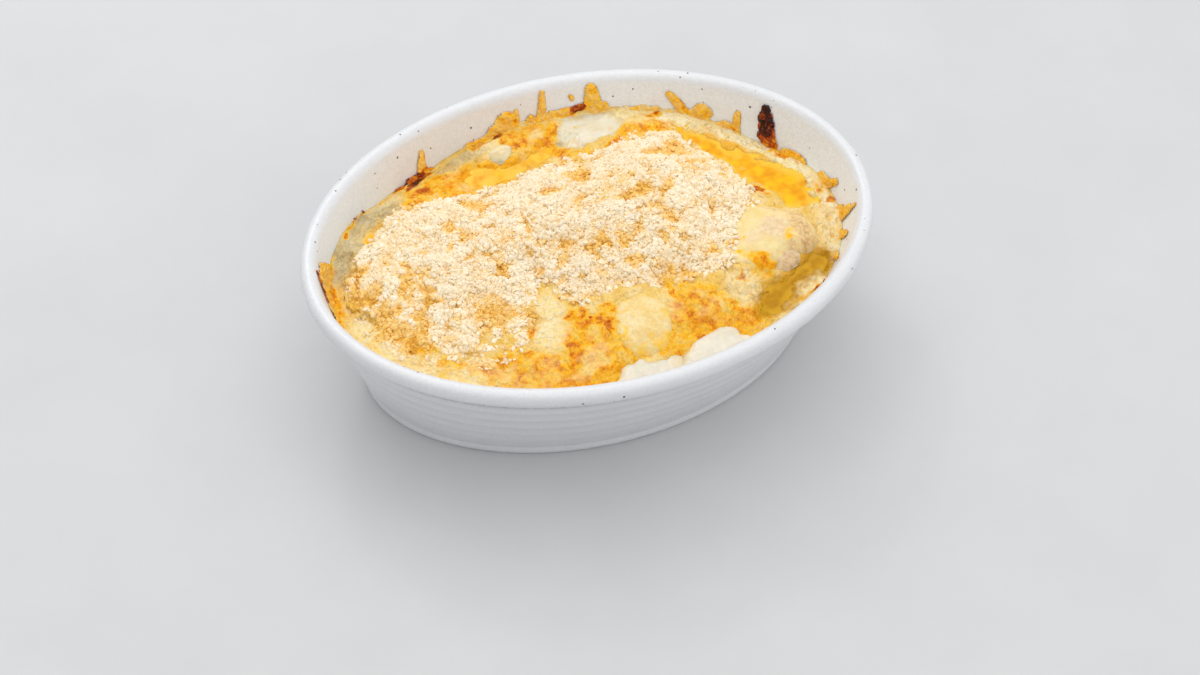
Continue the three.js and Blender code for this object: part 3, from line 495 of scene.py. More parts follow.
def edit(piece, mode):
    """Opens a piece in edit mode with nothing selected but by this kind of part."""
    bpy.ops.object.select_all(action="DESELECT")
    piece.select_set(True)
    bpy.context.view_layer.objects.active = piece
    bpy.ops.object.mode_set(mode="EDIT")
    bpy.ops.mesh.select_mode(type=mode)
    bpy.ops.mesh.select_all(action="DESELECT")


def close_below(piece, rings):
    """Extrudes the open border once for each ring, which moves its corners, and then fills it."""
    edit(piece, "EDGE")
    bpy.ops.mesh.select_non_manifold()
    for ring in rings:
        bpy.ops.mesh.extrude_edges_move()
        shape = bmesh.from_edit_mesh(piece.data)
        for corner in shape.verts:
            if corner.select:
                corner.co = Vector(ring(*(corner.co / MM))) * MM
        bmesh.update_edit_mesh(piece.data)
    bpy.ops.mesh.edge_face_add()
    outward(piece)


def give_depth(piece, bottom):
    """Extrudes a whole open sheet straight down to a flat bottom."""
    edit(piece, "FACE")
    bpy.ops.mesh.select_all(action="SELECT")
    bpy.ops.mesh.extrude_region_move()
    shape = bmesh.from_edit_mesh(piece.data)
    for corner in shape.verts:
        if corner.select:
            corner.co.z = bottom * MM
    bmesh.update_edit_mesh(piece.data)
    outward(piece)


def outward(piece):
    bpy.ops.mesh.select_all(action="SELECT")
    bpy.ops.mesh.normals_make_consistent(inside=False)
    bpy.ops.object.mode_set(mode="OBJECT")
    piece.data.polygons.foreach_set("use_smooth", [True] * len(piece.data.polygons))
    piece.data.update()


def drop_faces(piece, keep):
    """Deletes the points that aren't kept, with their faces."""
    edit(piece, "VERT")
    shape = bmesh.from_edit_mesh(piece.data)
    for corner, kept in zip(shape.verts, keep):
        corner.select_set(not kept)
    bmesh.update_edit_mesh(piece.data)
    bpy.ops.mesh.delete(type="VERT")
    bpy.ops.object.mode_set(mode="OBJECT")


def dress(piece, finish, slot, *nodes):
    """Gives a piece its finish, hangs it on the root body and hides the CAD parts that it stands for."""
    piece.data.materials.clear()
    piece.data.materials.append(finish)
    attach(piece, "root")
    if nodes:
        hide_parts(*nodes)
    return piece


# Finishes


def paint(red, green, blue):
    """A colour as it shows, from 0 to 255, as the shader's own light values."""
    light = [((c / 255 + 0.055) / 1.055) ** 2.4 if c > 10 else c / 255 / 12.92 for c in (red, green, blue)]
    return (*light, 1.0)


def add(tree, kind, inputs=None, **settings):
    """A node with its settings, and its inputs set to values or linked to sockets."""
    node = tree.nodes.new(kind)
    for name, value in settings.items():
        setattr(node, name, value)
    for name, value in (inputs or {}).items():
        if isinstance(value, bpy.types.NodeSocket):
            tree.links.new(value, node.inputs[name])
        else:
            node.inputs[name].default_value = value
    return node


def blend(tree, share, first, second):
    """One colour going over into another."""
    return add(tree, "ShaderNodeMix", {0: share, 6: first, 7: second}, data_type="RGBA").outputs[2]


def rise(tree, value, low, high, to_low=0.0, to_high=1.0):
    node = add(tree, "ShaderNodeMapRange", {
        "Value": value, "From Min": low, "From Max": high, "To Min": to_low, "To Max": to_high,
    }, interpolation_type="SMOOTHSTEP")
    return node.outputs["Result"]


def work(tree, operation, first, second=0.0, clamp=False):
    return add(tree, "ShaderNodeMath", {0: first, 1: second}, operation=operation, use_clamp=clamp).outputs[0]


def mask(tree, name):
    return add(tree, "ShaderNodeAttribute", attribute_name=name).outputs["Fac"]


def own_place(tree):
    return add(tree, "ShaderNodeTexCoord").outputs["Object"]


def group(name, inputs, outputs):
    """An empty shared effect with its sockets."""
    tree = bpy.data.node_groups.new(name, "ShaderNodeTree")
    for label, kind, value in inputs:
        socket = tree.interface.new_socket(label, in_out="INPUT", socket_type="NodeSocket" + kind)
        socket.default_value = value
    for label, kind in outputs:
        tree.interface.new_socket(label, in_out="OUTPUT", socket_type="NodeSocket" + kind)
    return tree, add(tree, "NodeGroupInput").outputs, add(tree, "NodeGroupOutput")


def place_effect(tree, effect, inputs):
    """Puts a shared effect in a material or in another effect."""
    return add(tree, "ShaderNodeGroup", inputs, node_tree=effect).outputs


def mottle_effect():
    """Cloudy variation at one size, from 0 to 1."""
    tree, given, result = group(
        "mottle", [("Scale", "Float", 300.0), ("Contrast", "Float", 0.2)], [("Mask", "Float")],
    )
    cloud = add(tree, "ShaderNodeTexNoise", {
        "Vector": own_place(tree), "Scale": given["Scale"], "Detail": 4.0, "Roughness": 0.6,
    }).outputs["Fac"]
    low = work(tree, "SUBTRACT", 0.5, given["Contrast"])
    high = work(tree, "ADD", 0.5, given["Contrast"])
    tree.links.new(rise(tree, cloud, low, high), result.inputs["Mask"])
    return tree


def browned_effect(mottle):
    """Melted cheese that goes through golden and orange to brown and black as its browning rises."""
    tree, given, result = group(
        "browned cheese",
        [("Cheese", "Color", paint(240, 225, 180)), ("Browning", "Float", 0.0), ("Scale", "Float", 260.0)],
        [("Color", "Color"), ("Browned", "Float")],
    )
    broad = place_effect(tree, mottle, {"Scale": given["Scale"], "Contrast": 0.16})["Mask"]
    stir = work(tree, "MULTIPLY", work(tree, "SUBTRACT", broad, 0.5), 0.34)
    for finer, strength in ((4.2, 0.14), (9.0, 0.08)):
        scale = work(tree, "MULTIPLY", given["Scale"], finer)
        fine = place_effect(tree, mottle, {"Scale": scale, "Contrast": 0.2})["Mask"]
        stir = work(tree, "ADD", stir, work(tree, "MULTIPLY", work(tree, "SUBTRACT", fine, 0.5), strength))
    stirred = work(tree, "MULTIPLY", stir, rise(tree, given["Browning"], 0.02, 0.3, 0.25, 1.0))
    browned = work(tree, "ADD", given["Browning"], stirred, clamp=True)
    ramp = add(tree, "ShaderNodeValToRGB", {"Fac": browned})
    stops = [
        (0.0, paint(248, 210, 116)), (0.18, paint(255, 208, 80)), (0.34, paint(255, 191, 34)),
        (0.48, paint(249, 169, 16)), (0.6, paint(226, 130, 12)), (0.74, paint(188, 82, 14)),
        (0.87, paint(126, 48, 18)), (1.0, paint(52, 20, 14)),
    ]
    colours = ramp.color_ramp.elements
    while len(colours) < len(stops):
        colours.new(0.5)
    for stop, (at, colour) in zip(colours, stops):
        stop.position = at
        stop.color = colour
    shade = blend(tree, rise(tree, browned, 0.06, 0.3), given["Cheese"], ramp.outputs["Color"])
    tree.links.new(shade, result.inputs["Color"])
    tree.links.new(browned, result.inputs["Browned"])
    return tree


def grain_effect():
    """Fine pits and beads for a bump."""
    tree, given, result = group("fine grain", [("Scale", "Float", 900.0)], [("Height", "Float")])
    at = own_place(tree)
    cloud = add(tree, "ShaderNodeTexNoise", {"Vector": at, "Scale": given["Scale"], "Detail": 3.0})
    bead_scale = work(tree, "MULTIPLY", given["Scale"], 0.8)
    beads = add(tree, "ShaderNodeTexVoronoi", {"Vector": at, "Scale": bead_scale})
    height = work(tree, "ADD", cloud.outputs["Fac"], work(tree, "MULTIPLY", beads.outputs["Distance"], -0.5))
    tree.links.new(height, result.inputs["Height"])
    return tree


def vein_effect():
    """Thin winding strands, 1 along each strand."""
    tree, given, result = group("strands", [("Scale", "Float", 300.0)], [("Mask", "Float")])
    cloud = add(tree, "ShaderNodeTexNoise", {
        "Vector": own_place(tree), "Scale": given["Scale"], "Detail": 3.0, "Distortion": 1.4,
    }).outputs["Fac"]
    away = work(tree, "ABSOLUTE", work(tree, "SUBTRACT", cloud, 0.5))
    tree.links.new(rise(tree, away, 0.0, 0.05, 1.0, 0.0), result.inputs["Mask"])
    return tree


MOTTLE = mottle_effect()
VEINS = vein_effect()
BROWNED = browned_effect(MOTTLE)
GRAIN = grain_effect()


def cloudy(tree, scale, contrast):
    return place_effect(tree, MOTTLE, {"Scale": scale, "Contrast": contrast})["Mask"]


def browned_cheese(tree, cheese, scale):
    """Cheese that is browned where the piece's mask says so."""
    return place_effect(tree, BROWNED, {
        "Cheese": cheese, "Browning": mask(tree, "browning"), "Scale": scale,
    })


def finish(name, colour_of, roughness, bump=None, soft=0.0, soft_reach=0.003, shine=0.3, **fixed):
    """A finish. Colour and roughness can be functions of its node tree, and bump is a height and a depth."""
    material = bpy.data.materials.new(name)
    material.use_nodes = True
    tree = material.node_tree
    shader = tree.nodes["Principled BSDF"]
    colour = colour_of(tree)
    if isinstance(colour, bpy.types.NodeSocket):
        tree.links.new(colour, shader.inputs["Base Color"])
        material.diffuse_color = (0.8, 0.7, 0.5, 1)
    else:
        shader.inputs["Base Color"].default_value = colour
    if callable(roughness):
        tree.links.new(roughness(tree), shader.inputs["Roughness"])
    else:
        shader.inputs["Roughness"].default_value = roughness
    if bump:
        height, depth = bump
        lift = add(tree, "ShaderNodeBump", {"Height": height(tree), "Strength": 1.0, "Distance": depth * MM})
        tree.links.new(lift.outputs["Normal"], shader.inputs["Normal"])
    shader.inputs["Subsurface Weight"].default_value = soft
    shader.inputs["Subsurface Scale"].default_value = soft_reach
    shader.inputs["Subsurface Radius"].default_value = (1.0, 0.65, 0.35)
    shader.inputs["Specular IOR Level"].default_value = shine
    for label, value in fixed.items():
        shader.inputs[label.replace("_", " ")].default_value = value
    return material


def glaze_colour(tree):
    """White grainy glaze with dark iron specks. Inside it is painted lighter and bluer than outside, which is
    painted light, and it is warmer towards the back. A grey band of painted shade lies under the rim, darkest
    at the front left.
    """
    stain = cloudy(tree, 45.0, 0.25)
    # Inside, the glaze is painted lighter and bluer than outside, which is painted light, and it is warmer
    # towards the back.
    lit_inside_warmer = blend(tree, stain, paint(236, 238, 242), paint(236, 234, 232))
    lit_inside = blend(tree, stain, paint(241, 249, 255), paint(239, 247, 255))
    white = blend(tree, stain, paint(229, 230, 232), paint(225, 227, 229))
    glaze = blend(tree, mask(tree, "inside"), white, blend(tree, mask(tree, "warmer_at_back"), lit_inside, lit_inside_warmer))
    cells = add(tree, "ShaderNodeTexVoronoi", {"Vector": own_place(tree), "Scale": 300.0, "Randomness": 1.0})
    chosen = add(tree, "ShaderNodeSeparateColor", {"Color": cells.outputs["Color"]}).outputs
    size = rise(tree, chosen["Red"], 0.5, 1.0, 0.0, 0.14)
    speck = work(tree, "LESS_THAN", cells.outputs["Distance"], size)
    grain = cloudy(tree, 1100.0, 0.2)
    grainy = blend(tree, work(tree, "MULTIPLY", grain, 0.3), glaze, paint(202, 204, 210))
    # Painted shade: a grey band under the rim, broken up by noise, stands for the shade under the rim's
    # overhang.
    rim_shade_noise = cloudy(tree, 420.0, 0.12)
    broken_rim_shade = work(tree, "ADD", 0.5, work(tree, "MULTIPLY", rim_shade_noise, 0.5))
    shaded_under_rim = blend(tree, work(tree, "MULTIPLY", mask(tree, "painted_rim_shade"), broken_rim_shade), grainy, paint(150, 148, 146))
    return blend(tree, work(tree, "MULTIPLY", speck, mask(tree, "specks")), shaded_under_rim, paint(96, 84, 74))


def bake_colour(tree):
    """Pale melted cheese with sauce, cream, oil and browned patches, where the piece's masks say so."""
    cloud = cloudy(tree, 190.0, 0.22)
    fine = cloudy(tree, 700.0, 0.22)
    cheese = blend(tree, cloud, paint(242, 198, 88), paint(250, 220, 138))
    cheese = blend(tree, work(tree, "MULTIPLY", fine, 0.5), cheese, paint(234, 164, 38))
    sauce = blend(tree, cloud, paint(188, 166, 122), paint(214, 201, 166))
    sauce = blend(tree, work(tree, "MULTIPLY", fine, 0.4), sauce, paint(214, 178, 104))
    cheese = blend(tree, mask(tree, "sauce"), cheese, sauce)
    cream = blend(tree, fine, paint(255, 227, 152), paint(255, 244, 214))
    strands = place_effect(tree, VEINS, {"Scale": 210.0})["Mask"]
    browned = browned_cheese(tree, cheese, 260.0)
    faint = rise(tree, browned["Browned"], 0.2, 0.62, 0.5, 0.16)
    stringy = blend(tree, work(tree, "MULTIPLY", strands, faint), browned["Color"], paint(244, 208, 126))
    soaked = blend(tree, work(tree, "MULTIPLY", mask(tree, "oil"), 0.6), stringy, paint(244, 174, 20))
    topped = blend(tree, mask(tree, "cream"), soaked, cream)
    dark_oil = blend(tree, cloud, paint(180, 126, 6), paint(208, 156, 20))
    return blend(tree, mask(tree, "dark_oil"), topped, dark_oil)


def bake_roughness(tree):
    wet = work(tree, "MAXIMUM", mask(tree, "oil"), mask(tree, "sauce"))
    fine = cloudy(tree, 500.0, 0.25)
    dry = work(tree, "ADD", 0.2, work(tree, "MULTIPLY", fine, 0.24))
    return work(tree, "SUBTRACT", dry, work(tree, "MULTIPLY", wet, 0.12))


def grain_height(scale):
    return lambda tree: place_effect(tree, GRAIN, {"Scale": scale})["Height"]


def splash_colour(tree):
    """Orange where cheese splashed up, pale where the bake only reaches up the wall."""
    cloud = cloudy(tree, 300.0, 0.2)
    orange = blend(tree, cloud, paint(244, 182, 76), paint(253, 206, 112))
    pale = blend(tree, cloud, paint(240, 206, 130), paint(246, 222, 168))
    cheese = blend(tree, mask(tree, "pale"), orange, pale)
    browned = browned_cheese(tree, cheese, 330.0)
    return blend(tree, mask(tree, "filmy"), browned["Color"], paint(238, 222, 200))


def grated_colour(tree, scale):
    """Cream grated cheese that turns pale golden and then golden as its tint rises: painted golden shade
    where it lies deep in the heap and in its gaps, and its own golden colour where it starts to melt.
    """
    cloud = cloudy(tree, scale, 0.2)
    light = blend(tree, cloud, paint(251, 240, 218), paint(249, 231, 198))
    deep = blend(tree, cloud, paint(250, 216, 142), paint(246, 202, 114))
    golden = blend(tree, cloud, paint(238, 194, 96), paint(228, 172, 64))
    tint = mask(tree, "tint")
    deeper = blend(tree, rise(tree, tint, 0.0, 0.5), light, deep)
    return blend(tree, rise(tree, tint, 0.5, 1.0), deeper, golden)


def crumb_colour(tree):
    return grated_colour(tree, 160.0)


def core_colour(tree):
    return grated_colour(tree, 900.0)


def streaks(tree):
    """Fine streaks that run down a side."""
    stretch = {0: own_place(tree), 1: (1.0, 1.0, 0.22)}
    stretched = add(tree, "ShaderNodeVectorMath", stretch, operation="MULTIPLY").outputs["Vector"]
    cloud = add(tree, "ShaderNodeTexNoise", {"Vector": stretched, "Scale": 900.0, "Detail": 3.0})
    return rise(tree, cloud.outputs["Fac"], 0.36, 0.64)


def filling_colour(tree):
    """Pinkish brown filling, cut through and streaked."""
    cloud = cloudy(tree, 420.0, 0.16)
    mince = blend(tree, cloud, paint(208, 164, 114), paint(234, 204, 156))
    return blend(tree, work(tree, "MULTIPLY", streaks(tree), 0.6), mince, paint(238, 216, 184))


def pasta_colour(tree):
    """Pale pasta under cheese, with the filling showing through where it is thin."""
    cloud = cloudy(tree, 180.0, 0.22)
    fine = cloudy(tree, 620.0, 0.2)
    sheet = blend(tree, cloud, paint(234, 206, 134), paint(242, 222, 168))
    showing = blend(tree, fine, paint(220, 182, 148), paint(242, 222, 200))
    sheet = blend(tree, mask(tree, "thin"), sheet, showing)
    side = blend(tree, streaks(tree), paint(204, 160, 104), paint(236, 202, 148))
    sheet = blend(tree, mask(tree, "striped"), sheet, side)
    rim = blend(tree, fine, paint(244, 204, 128), paint(248, 230, 182))
    sheet = blend(tree, mask(tree, "rim"), sheet, rim)
    return browned_cheese(tree, sheet, 240.0)["Color"]


def melted_colour(tree):
    cloud = cloudy(tree, 150.0, 0.22)
    cheese = blend(tree, cloud, paint(234, 202, 126), paint(243, 221, 166))
    strands = place_effect(tree, VEINS, {"Scale": 260.0})["Mask"]
    cheese = blend(tree, work(tree, "MULTIPLY", strands, 0.4), cheese, paint(248, 232, 192))
    cheese = blend(tree, work(tree, "MULTIPLY", mask(tree, "rim"), 0.75), cheese, paint(250, 196, 74))
    return browned_cheese(tree, cheese, 240.0)["Color"]


def mozzarella_colour(tree):
    cloud = cloudy(tree, 120.0, 0.25)
    cheese = blend(tree, cloud, paint(222, 212, 190), paint(236, 230, 216))
    cheese = blend(tree, work(tree, "MULTIPLY", mask(tree, "rim"), 0.45), cheese, paint(238, 206, 140))
    return browned_cheese(tree, cheese, 240.0)["Color"]


def molten_colour(tree):
    cloud = cloudy(tree, 170.0, 0.25)
    cheese = blend(tree, cloud, paint(224, 212, 182), paint(232, 224, 202))
    cheese = blend(tree, mask(tree, "thin"), cheese, paint(238, 218, 172))
    cheese = blend(tree, work(tree, "MULTIPLY", mask(tree, "rim"), 0.6), cheese, paint(228, 186, 104))
    return browned_cheese(tree, cheese, 240.0)["Color"]


def oil_colour(tree):
    """Yellow where it is shallow, deeper golden in the middle of the pool."""
    cloud = cloudy(tree, 210.0, 0.2)
    deep = blend(tree, cloud, paint(250, 194, 14), paint(234, 152, 4))
    return blend(tree, mask(tree, "depth"), paint(246, 196, 62), deep)


def dark_oil_colour(tree):
    cloud = cloudy(tree, 180.0, 0.2)
    deep = blend(tree, cloud, paint(172, 118, 0), paint(200, 148, 2))
    return blend(tree, mask(tree, "depth"), paint(210, 158, 28), deep)


GLAZE = finish("white glaze", glaze_colour, 0.34, (grain_height(420.0), 0.14), shine=0.5, Coat_Weight=0.2,
               Coat_Roughness=0.2)
BAKED = finish("baked cheese", bake_colour, bake_roughness, (grain_height(700.0), 1.3), 0.16, shine=0.15)
SPLASHED = finish("splashed cheese", splash_colour, 0.26, (grain_height(1000.0), 0.7), shine=0.2)
CRUMBS = finish("grated cheese crumbs", crumb_colour, 0.9, None, 0.0, 0.001, 0.1)
CORE = finish("packed grated cheese", core_colour, 0.9, (grain_height(1700.0), 0.35), 0.35, 0.0007, 0.1)
MINCE = finish("granular filling", filling_colour, 0.5, (grain_height(1100.0), 0.5), 0.25, shine=0.16)
PASTA = finish("pasta sheet", pasta_colour, 0.32, (grain_height(700.0), 0.3), 0.3, shine=0.2)
MELTED = finish("melted cheese", melted_colour, 0.32, (grain_height(800.0), 0.4), 0.35, shine=0.2)
MOZZARELLA = finish("mozzarella", mozzarella_colour, 0.28, (grain_height(500.0), 0.25), 0.4, 0.004)
MOLTEN = finish("molten mozzarella", molten_colour, 0.26, (grain_height(420.0), 0.16), 0.35, 0.004)
OIL = finish("golden oil", oil_colour, 0.1, (grain_height(160.0), 0.03), 0.25, 0.003, 0.2)
DARK_OIL = finish("oil over browned cheese", dark_oil_colour, 0.12, (grain_height(160.0), 0.03), 0.2, 0.003,
                  0.2)


# Dish


def dish_profile():
    """The wall's section: the foot's underside, the ribbed outside, the rim, the inside and the floor."""
    foot = [(FOOT_INSET + inward, level) for inward, level in (
        (9, 1.2), (8.3, 0.5), (7.6, 0.05), (4, 0.0), (0.4, 0.02), (-0.4, 0.4), (-0.8, 1.2), (-0.9, 2.4),
        (-0.7, 3.6), (-0.7, 4.4),
    )]
    slope = (FOOT_INSET - 0.9 - 3.6) / (48.5 - 2.4)
    wall = []
    for level in np.linspace(5.2, 47.6, 76):
        inset = 3.6 + slope * (48.5 - level) + 0.12
        for ridge, depth in zip(THROWING_RIBS, RIB_DEPTHS):
            inset -= 0.8 * depth * math.exp(-(((level - ridge) / 1.9) ** 2)) - 0.25 * depth
        wall.append((inset, level))
    neck = [(3.5, 48.3), (3.1, 48.9), (2.5, 49.35), (1.7, 49.75), (0.9, 50.3), (0.35, 51.1), (0.05, 52.2),
            (0.08, 53.2), (0.35, 54.3), (0.85, 55.1), (1.5, 55.6), (2.3, 55.9), (3.1, 55.98), (3.9, 55.8),
            (4.7, 55.3), (inner_inset(54.4), 54.4), (inner_inset(53.2) + 0.05, 53.2)]
    inside = [(inner_inset(level), level) for level in np.linspace(52.2, 12, 28)]
    floor = [(inner_inset(9.5) + 0.5, 9.5), (inner_inset(7.5) + 1.6, 7.3), (inner_inset(6) + 4, 6.0),
             (inner_inset(FLOOR_LEVEL) + 8, FLOOR_LEVEL), (inner_inset(FLOOR_LEVEL) + 14, FLOOR_LEVEL)]
    return np.array(foot + wall + neck + inside + floor)


def round_the_wall(angle, level):
    """A place on the wall as two numbers that noise can read, with no seam."""
    return 88 * np.cos(angle) + 0.8 * level, 65 * np.sin(angle) + 0.6 * level


def dish():
    """A grid rolled round the oval, with its seam merged and both ends filled."""
    profile = dish_profile()
    piece = grid_piece("stoneware_dish", DISH_SIDES, len(profile) - 1)
    points = points_of(piece)
    angle = (points[:, 0] + 1) * np.pi
    row = np.clip(np.rint((points[:, 1] + 1) / 2 * (len(profile) - 1)).astype(int), 0, len(profile) - 1)
    inset, level = profile[row, 0], profile[row, 1]
    wobble = 0.07 * lumps(*round_the_wall(angle, level), 9, 41) * fade(level, 3, 12)
    x, y = oval_point(angle, np.maximum(inset + wobble, 0.02))
    move_points(piece, x, y * 0.9985, level)
    past_rim = row > np.argmax(profile[:, 1])
    degrees = np.degrees(angle)
    # The inside is painted lighter than the outside, which is painted light, and warmer towards the back.
    store(piece, "inside", past_rim * (1 - fade(level, 52.5, 55.6)))
    store(piece, "warmer_at_back", np.exp(-(((degrees - 105) / 36) ** 2)))
    store(piece, "specks", np.where(past_rim, 1.0, fade(level, 49, 53)))
    # The band of painted shade under the rim is darkest at the front left, where the rim's overhang shades
    # the wall most.
    front_left = fade(-np.sin(angle + 0.4), 0.3, 0.9)
    near_painted_rim_shade = np.exp(-(((level - PAINTED_RIM_SHADE_LEVEL) / 2.0) ** 2))
    store(piece, "painted_rim_shade", ~past_rim * near_painted_rim_shade * (0.28 + 0.5 * front_left))
    edit(piece, "VERT")
    bpy.ops.mesh.select_all(action="SELECT")
    bpy.ops.mesh.remove_doubles(threshold=1e-6)
    bpy.ops.mesh.select_all(action="DESELECT")
    bpy.ops.mesh.select_mode(type="EDGE")
    bpy.ops.mesh.select_non_manifold()
    bpy.ops.mesh.edge_face_add()
    outward(piece)
    return dress(piece, GLAZE, "glaze", "dish")


# Bake


def bake_points(angle, share):
    """Places and levels of the bake's surface, with its blisters and the pools' beds."""
    climb = 0.7 + 0.5 * lumps(*round_the_wall(angle, 40), 7, 51)
    wall_level = edge_level(angle) + climb
    x, y = oval_point(angle, inner_inset(wall_level) + 0.06)
    x, y = x * share, y * share
    level = broad_level(x, y, angle, share)
    inner = 1 - np.minimum(share, 1) ** 14
    level = level + (0.46 * layered_lumps(x, y, 4.8, 52) + 0.16 * layered_lumps(x, y, 1.5, 57, 2)) * inner
    level = sunk_under_pools(x, y, level)
    level = level + climb * np.exp(-(1 - share) * 80 / 1.4)
    return x, y, level


def blisters(x, y, zones, seed, count):
    """Heights, seams and tops of round bubbles that rose in the sauce and set, as domes and open rings."""
    draw = np.random.default_rng(seed)
    height, seams, tops = np.zeros(x.shape), np.zeros(x.shape), np.zeros(x.shape)
    for zone_x, zone_y, reach_x, reach_y, share in zones:
        for _ in range(int(count * share)):
            far, turn = math.sqrt(draw.random()), draw.uniform(0, 2 * math.pi)
            middle_x = zone_x + reach_x * far * math.cos(turn)
            middle_y = zone_y + reach_y * far * math.sin(turn)
            size = draw.uniform(0.6, 1.8) * draw.uniform(0.6, 1)
            near = np.abs(x - middle_x) + np.abs(y - middle_y) < 3 * size
            distance = np.hypot(x[near] - middle_x, y[near] - middle_y) / size
            seams[near] = np.maximum(seams[near], np.exp(-(((distance - 1.05) / 0.22) ** 2)))
            if draw.random() < 0.6:
                height[near] += 0.6 * size * np.sqrt(np.clip(1 - distance**2, 0, 1))
                tops[near] = np.maximum(tops[near], np.clip(1 - distance**2, 0, 1))
            else:
                ring = np.exp(-(((distance - 0.85) / 0.28) ** 2)) - 0.4 * np.exp(-(distance**2) * 3)
                height[near] += 0.3 * size * ring
    return height, seams, tops


# Where bubbles rose: x, y, reach along, reach across, share of the count
BLISTER_ZONES = [
    (64, 44, 16, 7, 1.0), (82, 20, 7, 9, 0.8), (86, -4, 5, 12, 0.9), (79, -24, 5, 11, 0.8),
    (60, -46, 14, 4, 0.6), (-66, 38, 13, 5, 1.0), (-32, 53, 10, 4, 0.4), (40, 57, 10, 3, 0.6),
    (-20, 58, 6, 4, 0.4), (-74, -26, 8, 14, 0.4), (40, -42, 10, 8, 0.5), (-40, -50, 24, 8, 0.6),
    (-82, 20, 5, 9, 1.0),
]

# Where the bake is frothy: x, y, reach, reach, turn, strength
FROTH_SPOTS = [
    (82, 14, 8, 14, 20, 1), (85, -8, 6, 13, 0, 1), (79, -26, 6, 8, -20, 0.9), (70, 32, 15, 6, -40, 1),
    (54, 48, 12, 6, -20, 1), (36, 56, 12, 4, -5, 0.8), (70, -38, 9, 4, 25, 0.9),
    (56, -47, 10, 4, 20, 0.7), (-62, -44, 12, 5, 30, 0.7), (-78, -28, 6, 10, 30, 0.7),
    (-40, -54, 14, 6, -10, 0.6), (42, -36, 8, 7, 0, 0.7), (-14, 56, 10, 5, 0, 0.6),
]


def bake():
    piece = grid_piece("baked_lasagna", 760, 230)
    angle, share = disc_shares(points_of(piece))
    x, y, level = bake_points(angle, share)
    golden = patches(x, y, GOLDEN_SPOTS)
    oil = patches(x, y, OIL_SPOTS)
    sauce = patches(x, y, SAUCE_SPOTS)
    cream = patches(x, y, CREAM_SPOTS)
    inner = 1 - np.minimum(share, 1) ** 20
    bubbles, seams, tops = blisters(x, y, BLISTER_ZONES, 61, 90)
    level = level + bubbles * inner * (1 - oil)
    froth, clumps = clods(x, y, 2.7, 68), clods(x, y, 5.6, 69)
    foam = patches(x, y, FROTH_SPOTS) * (1 - oil)
    rough = (0.55 + 0.45 * foam) * (1 - 0.7 * sauce) * (1 - 0.7 * oil)
    for corners in (MOZZARELLA_BACK, CHEESE_PEARL, MELTED_CHEESE_ROUND):
        level = level + 0.9 * np.exp(-(((depth_inside(x, y, smooth_outline(corners, 60)) + 1.4) / 2.2) ** 2))
    relief = rough * (1.2 * froth + 1.2 * clumps - 1.2) + 0.2 * layered_lumps(x, y, 1.5, 63, 2)
    level = level + relief * inner
    wall_line = fade(share, 0.97, 0.998) * fade(lumps(*round_the_wall(angle, 0), 9, 64), 0.1, 0.7)
    # Browning that is partly random and partly painted shade: more browning in the seams round bubbles and in
    # the hollows between clumps and froth.
    painted_seam_shade = 0.2 * seams * foam * fade(lumps(x, y, 5, 67), -0.5, 0.5)
    mottle_and_painted_shade = 0.12 * fade(layered_lumps(x, y, 7, 66), 0.1, 0.9) + painted_seam_shade
    painted_pit_shade = (0.3 + 0.16 * foam) * fade(froth, 0.5, 0.1) + 0.34 * fade(clumps, 0.6, 0.15) - 0.16
    mottle_and_painted_shade = mottle_and_painted_shade + rough * painted_pit_shade
    mottle_and_painted_shade = mottle_and_painted_shade * (1 - 0.6 * sauce) * (1 - 0.6 * fade(golden, 0.2, 0.5))
    browning = np.clip(np.maximum(golden, 0.46 * wall_line * (1 - cream)) + mottle_and_painted_shade, 0, 1)
    # Painted light: the tops of bubbles, froth and clumps are paler, and froth is paler the higher it stands.
    # This joins the real cream patches in the cream mask.
    painted_light_on_froth = foam * np.maximum(0.6 * tops, 0.75 * fade(froth, 0.5, 0.85))
    painted_light_on_tops = np.maximum(painted_light_on_froth, 0.8 * rough * fade(clumps, 0.6, 0.95))
    painted_light_on_tops = np.clip(painted_light_on_tops, 0, 1) * (1 - oil)
    foam_cream_and_painted_light = foam * (0.35 + 0.65 * fade(froth, 0.15, 0.6))
    pale = np.maximum(cream, np.maximum(painted_light_on_tops, foam_cream_and_painted_light))
    in_channel = depth_inside(x, y, smooth_outline(OIL_FRONT_RIGHT, 60)) + 1.6 * layered_lumps(x, y, 4, 65)
    move_points(piece, x, y, level)
    store(piece, "browning", browning)
    store(piece, "oil", oil * (1 - fade(browning, 0.6, 0.8)))
    store(piece, "sauce", sauce * (1 - fade(golden, 0.1, 0.3)))
    # The cream mask holds the real cream patches and the painted light on the tops.
    store(piece, "cream", pale * (1 - fade(golden, 0.28, 0.5)))
    store(piece, "dark_oil", fade(in_channel, -5.5, 0.2))

    def down_wall(level):
        def ring(x, y, z):
            angle = place_on_bake(np.array([x]), np.array([y]))[0][0]
            across, up = oval_point(angle, inner_inset(level) + 0.15 + 8 * fade(level, 12, 5))
            return across, up, level
        return ring

    close_below(piece, [down_wall(30), down_wall(14), down_wall(6)])
    return dress(piece, BAKED, "baked_cheese", "lasagna")


# Splashes on the wall


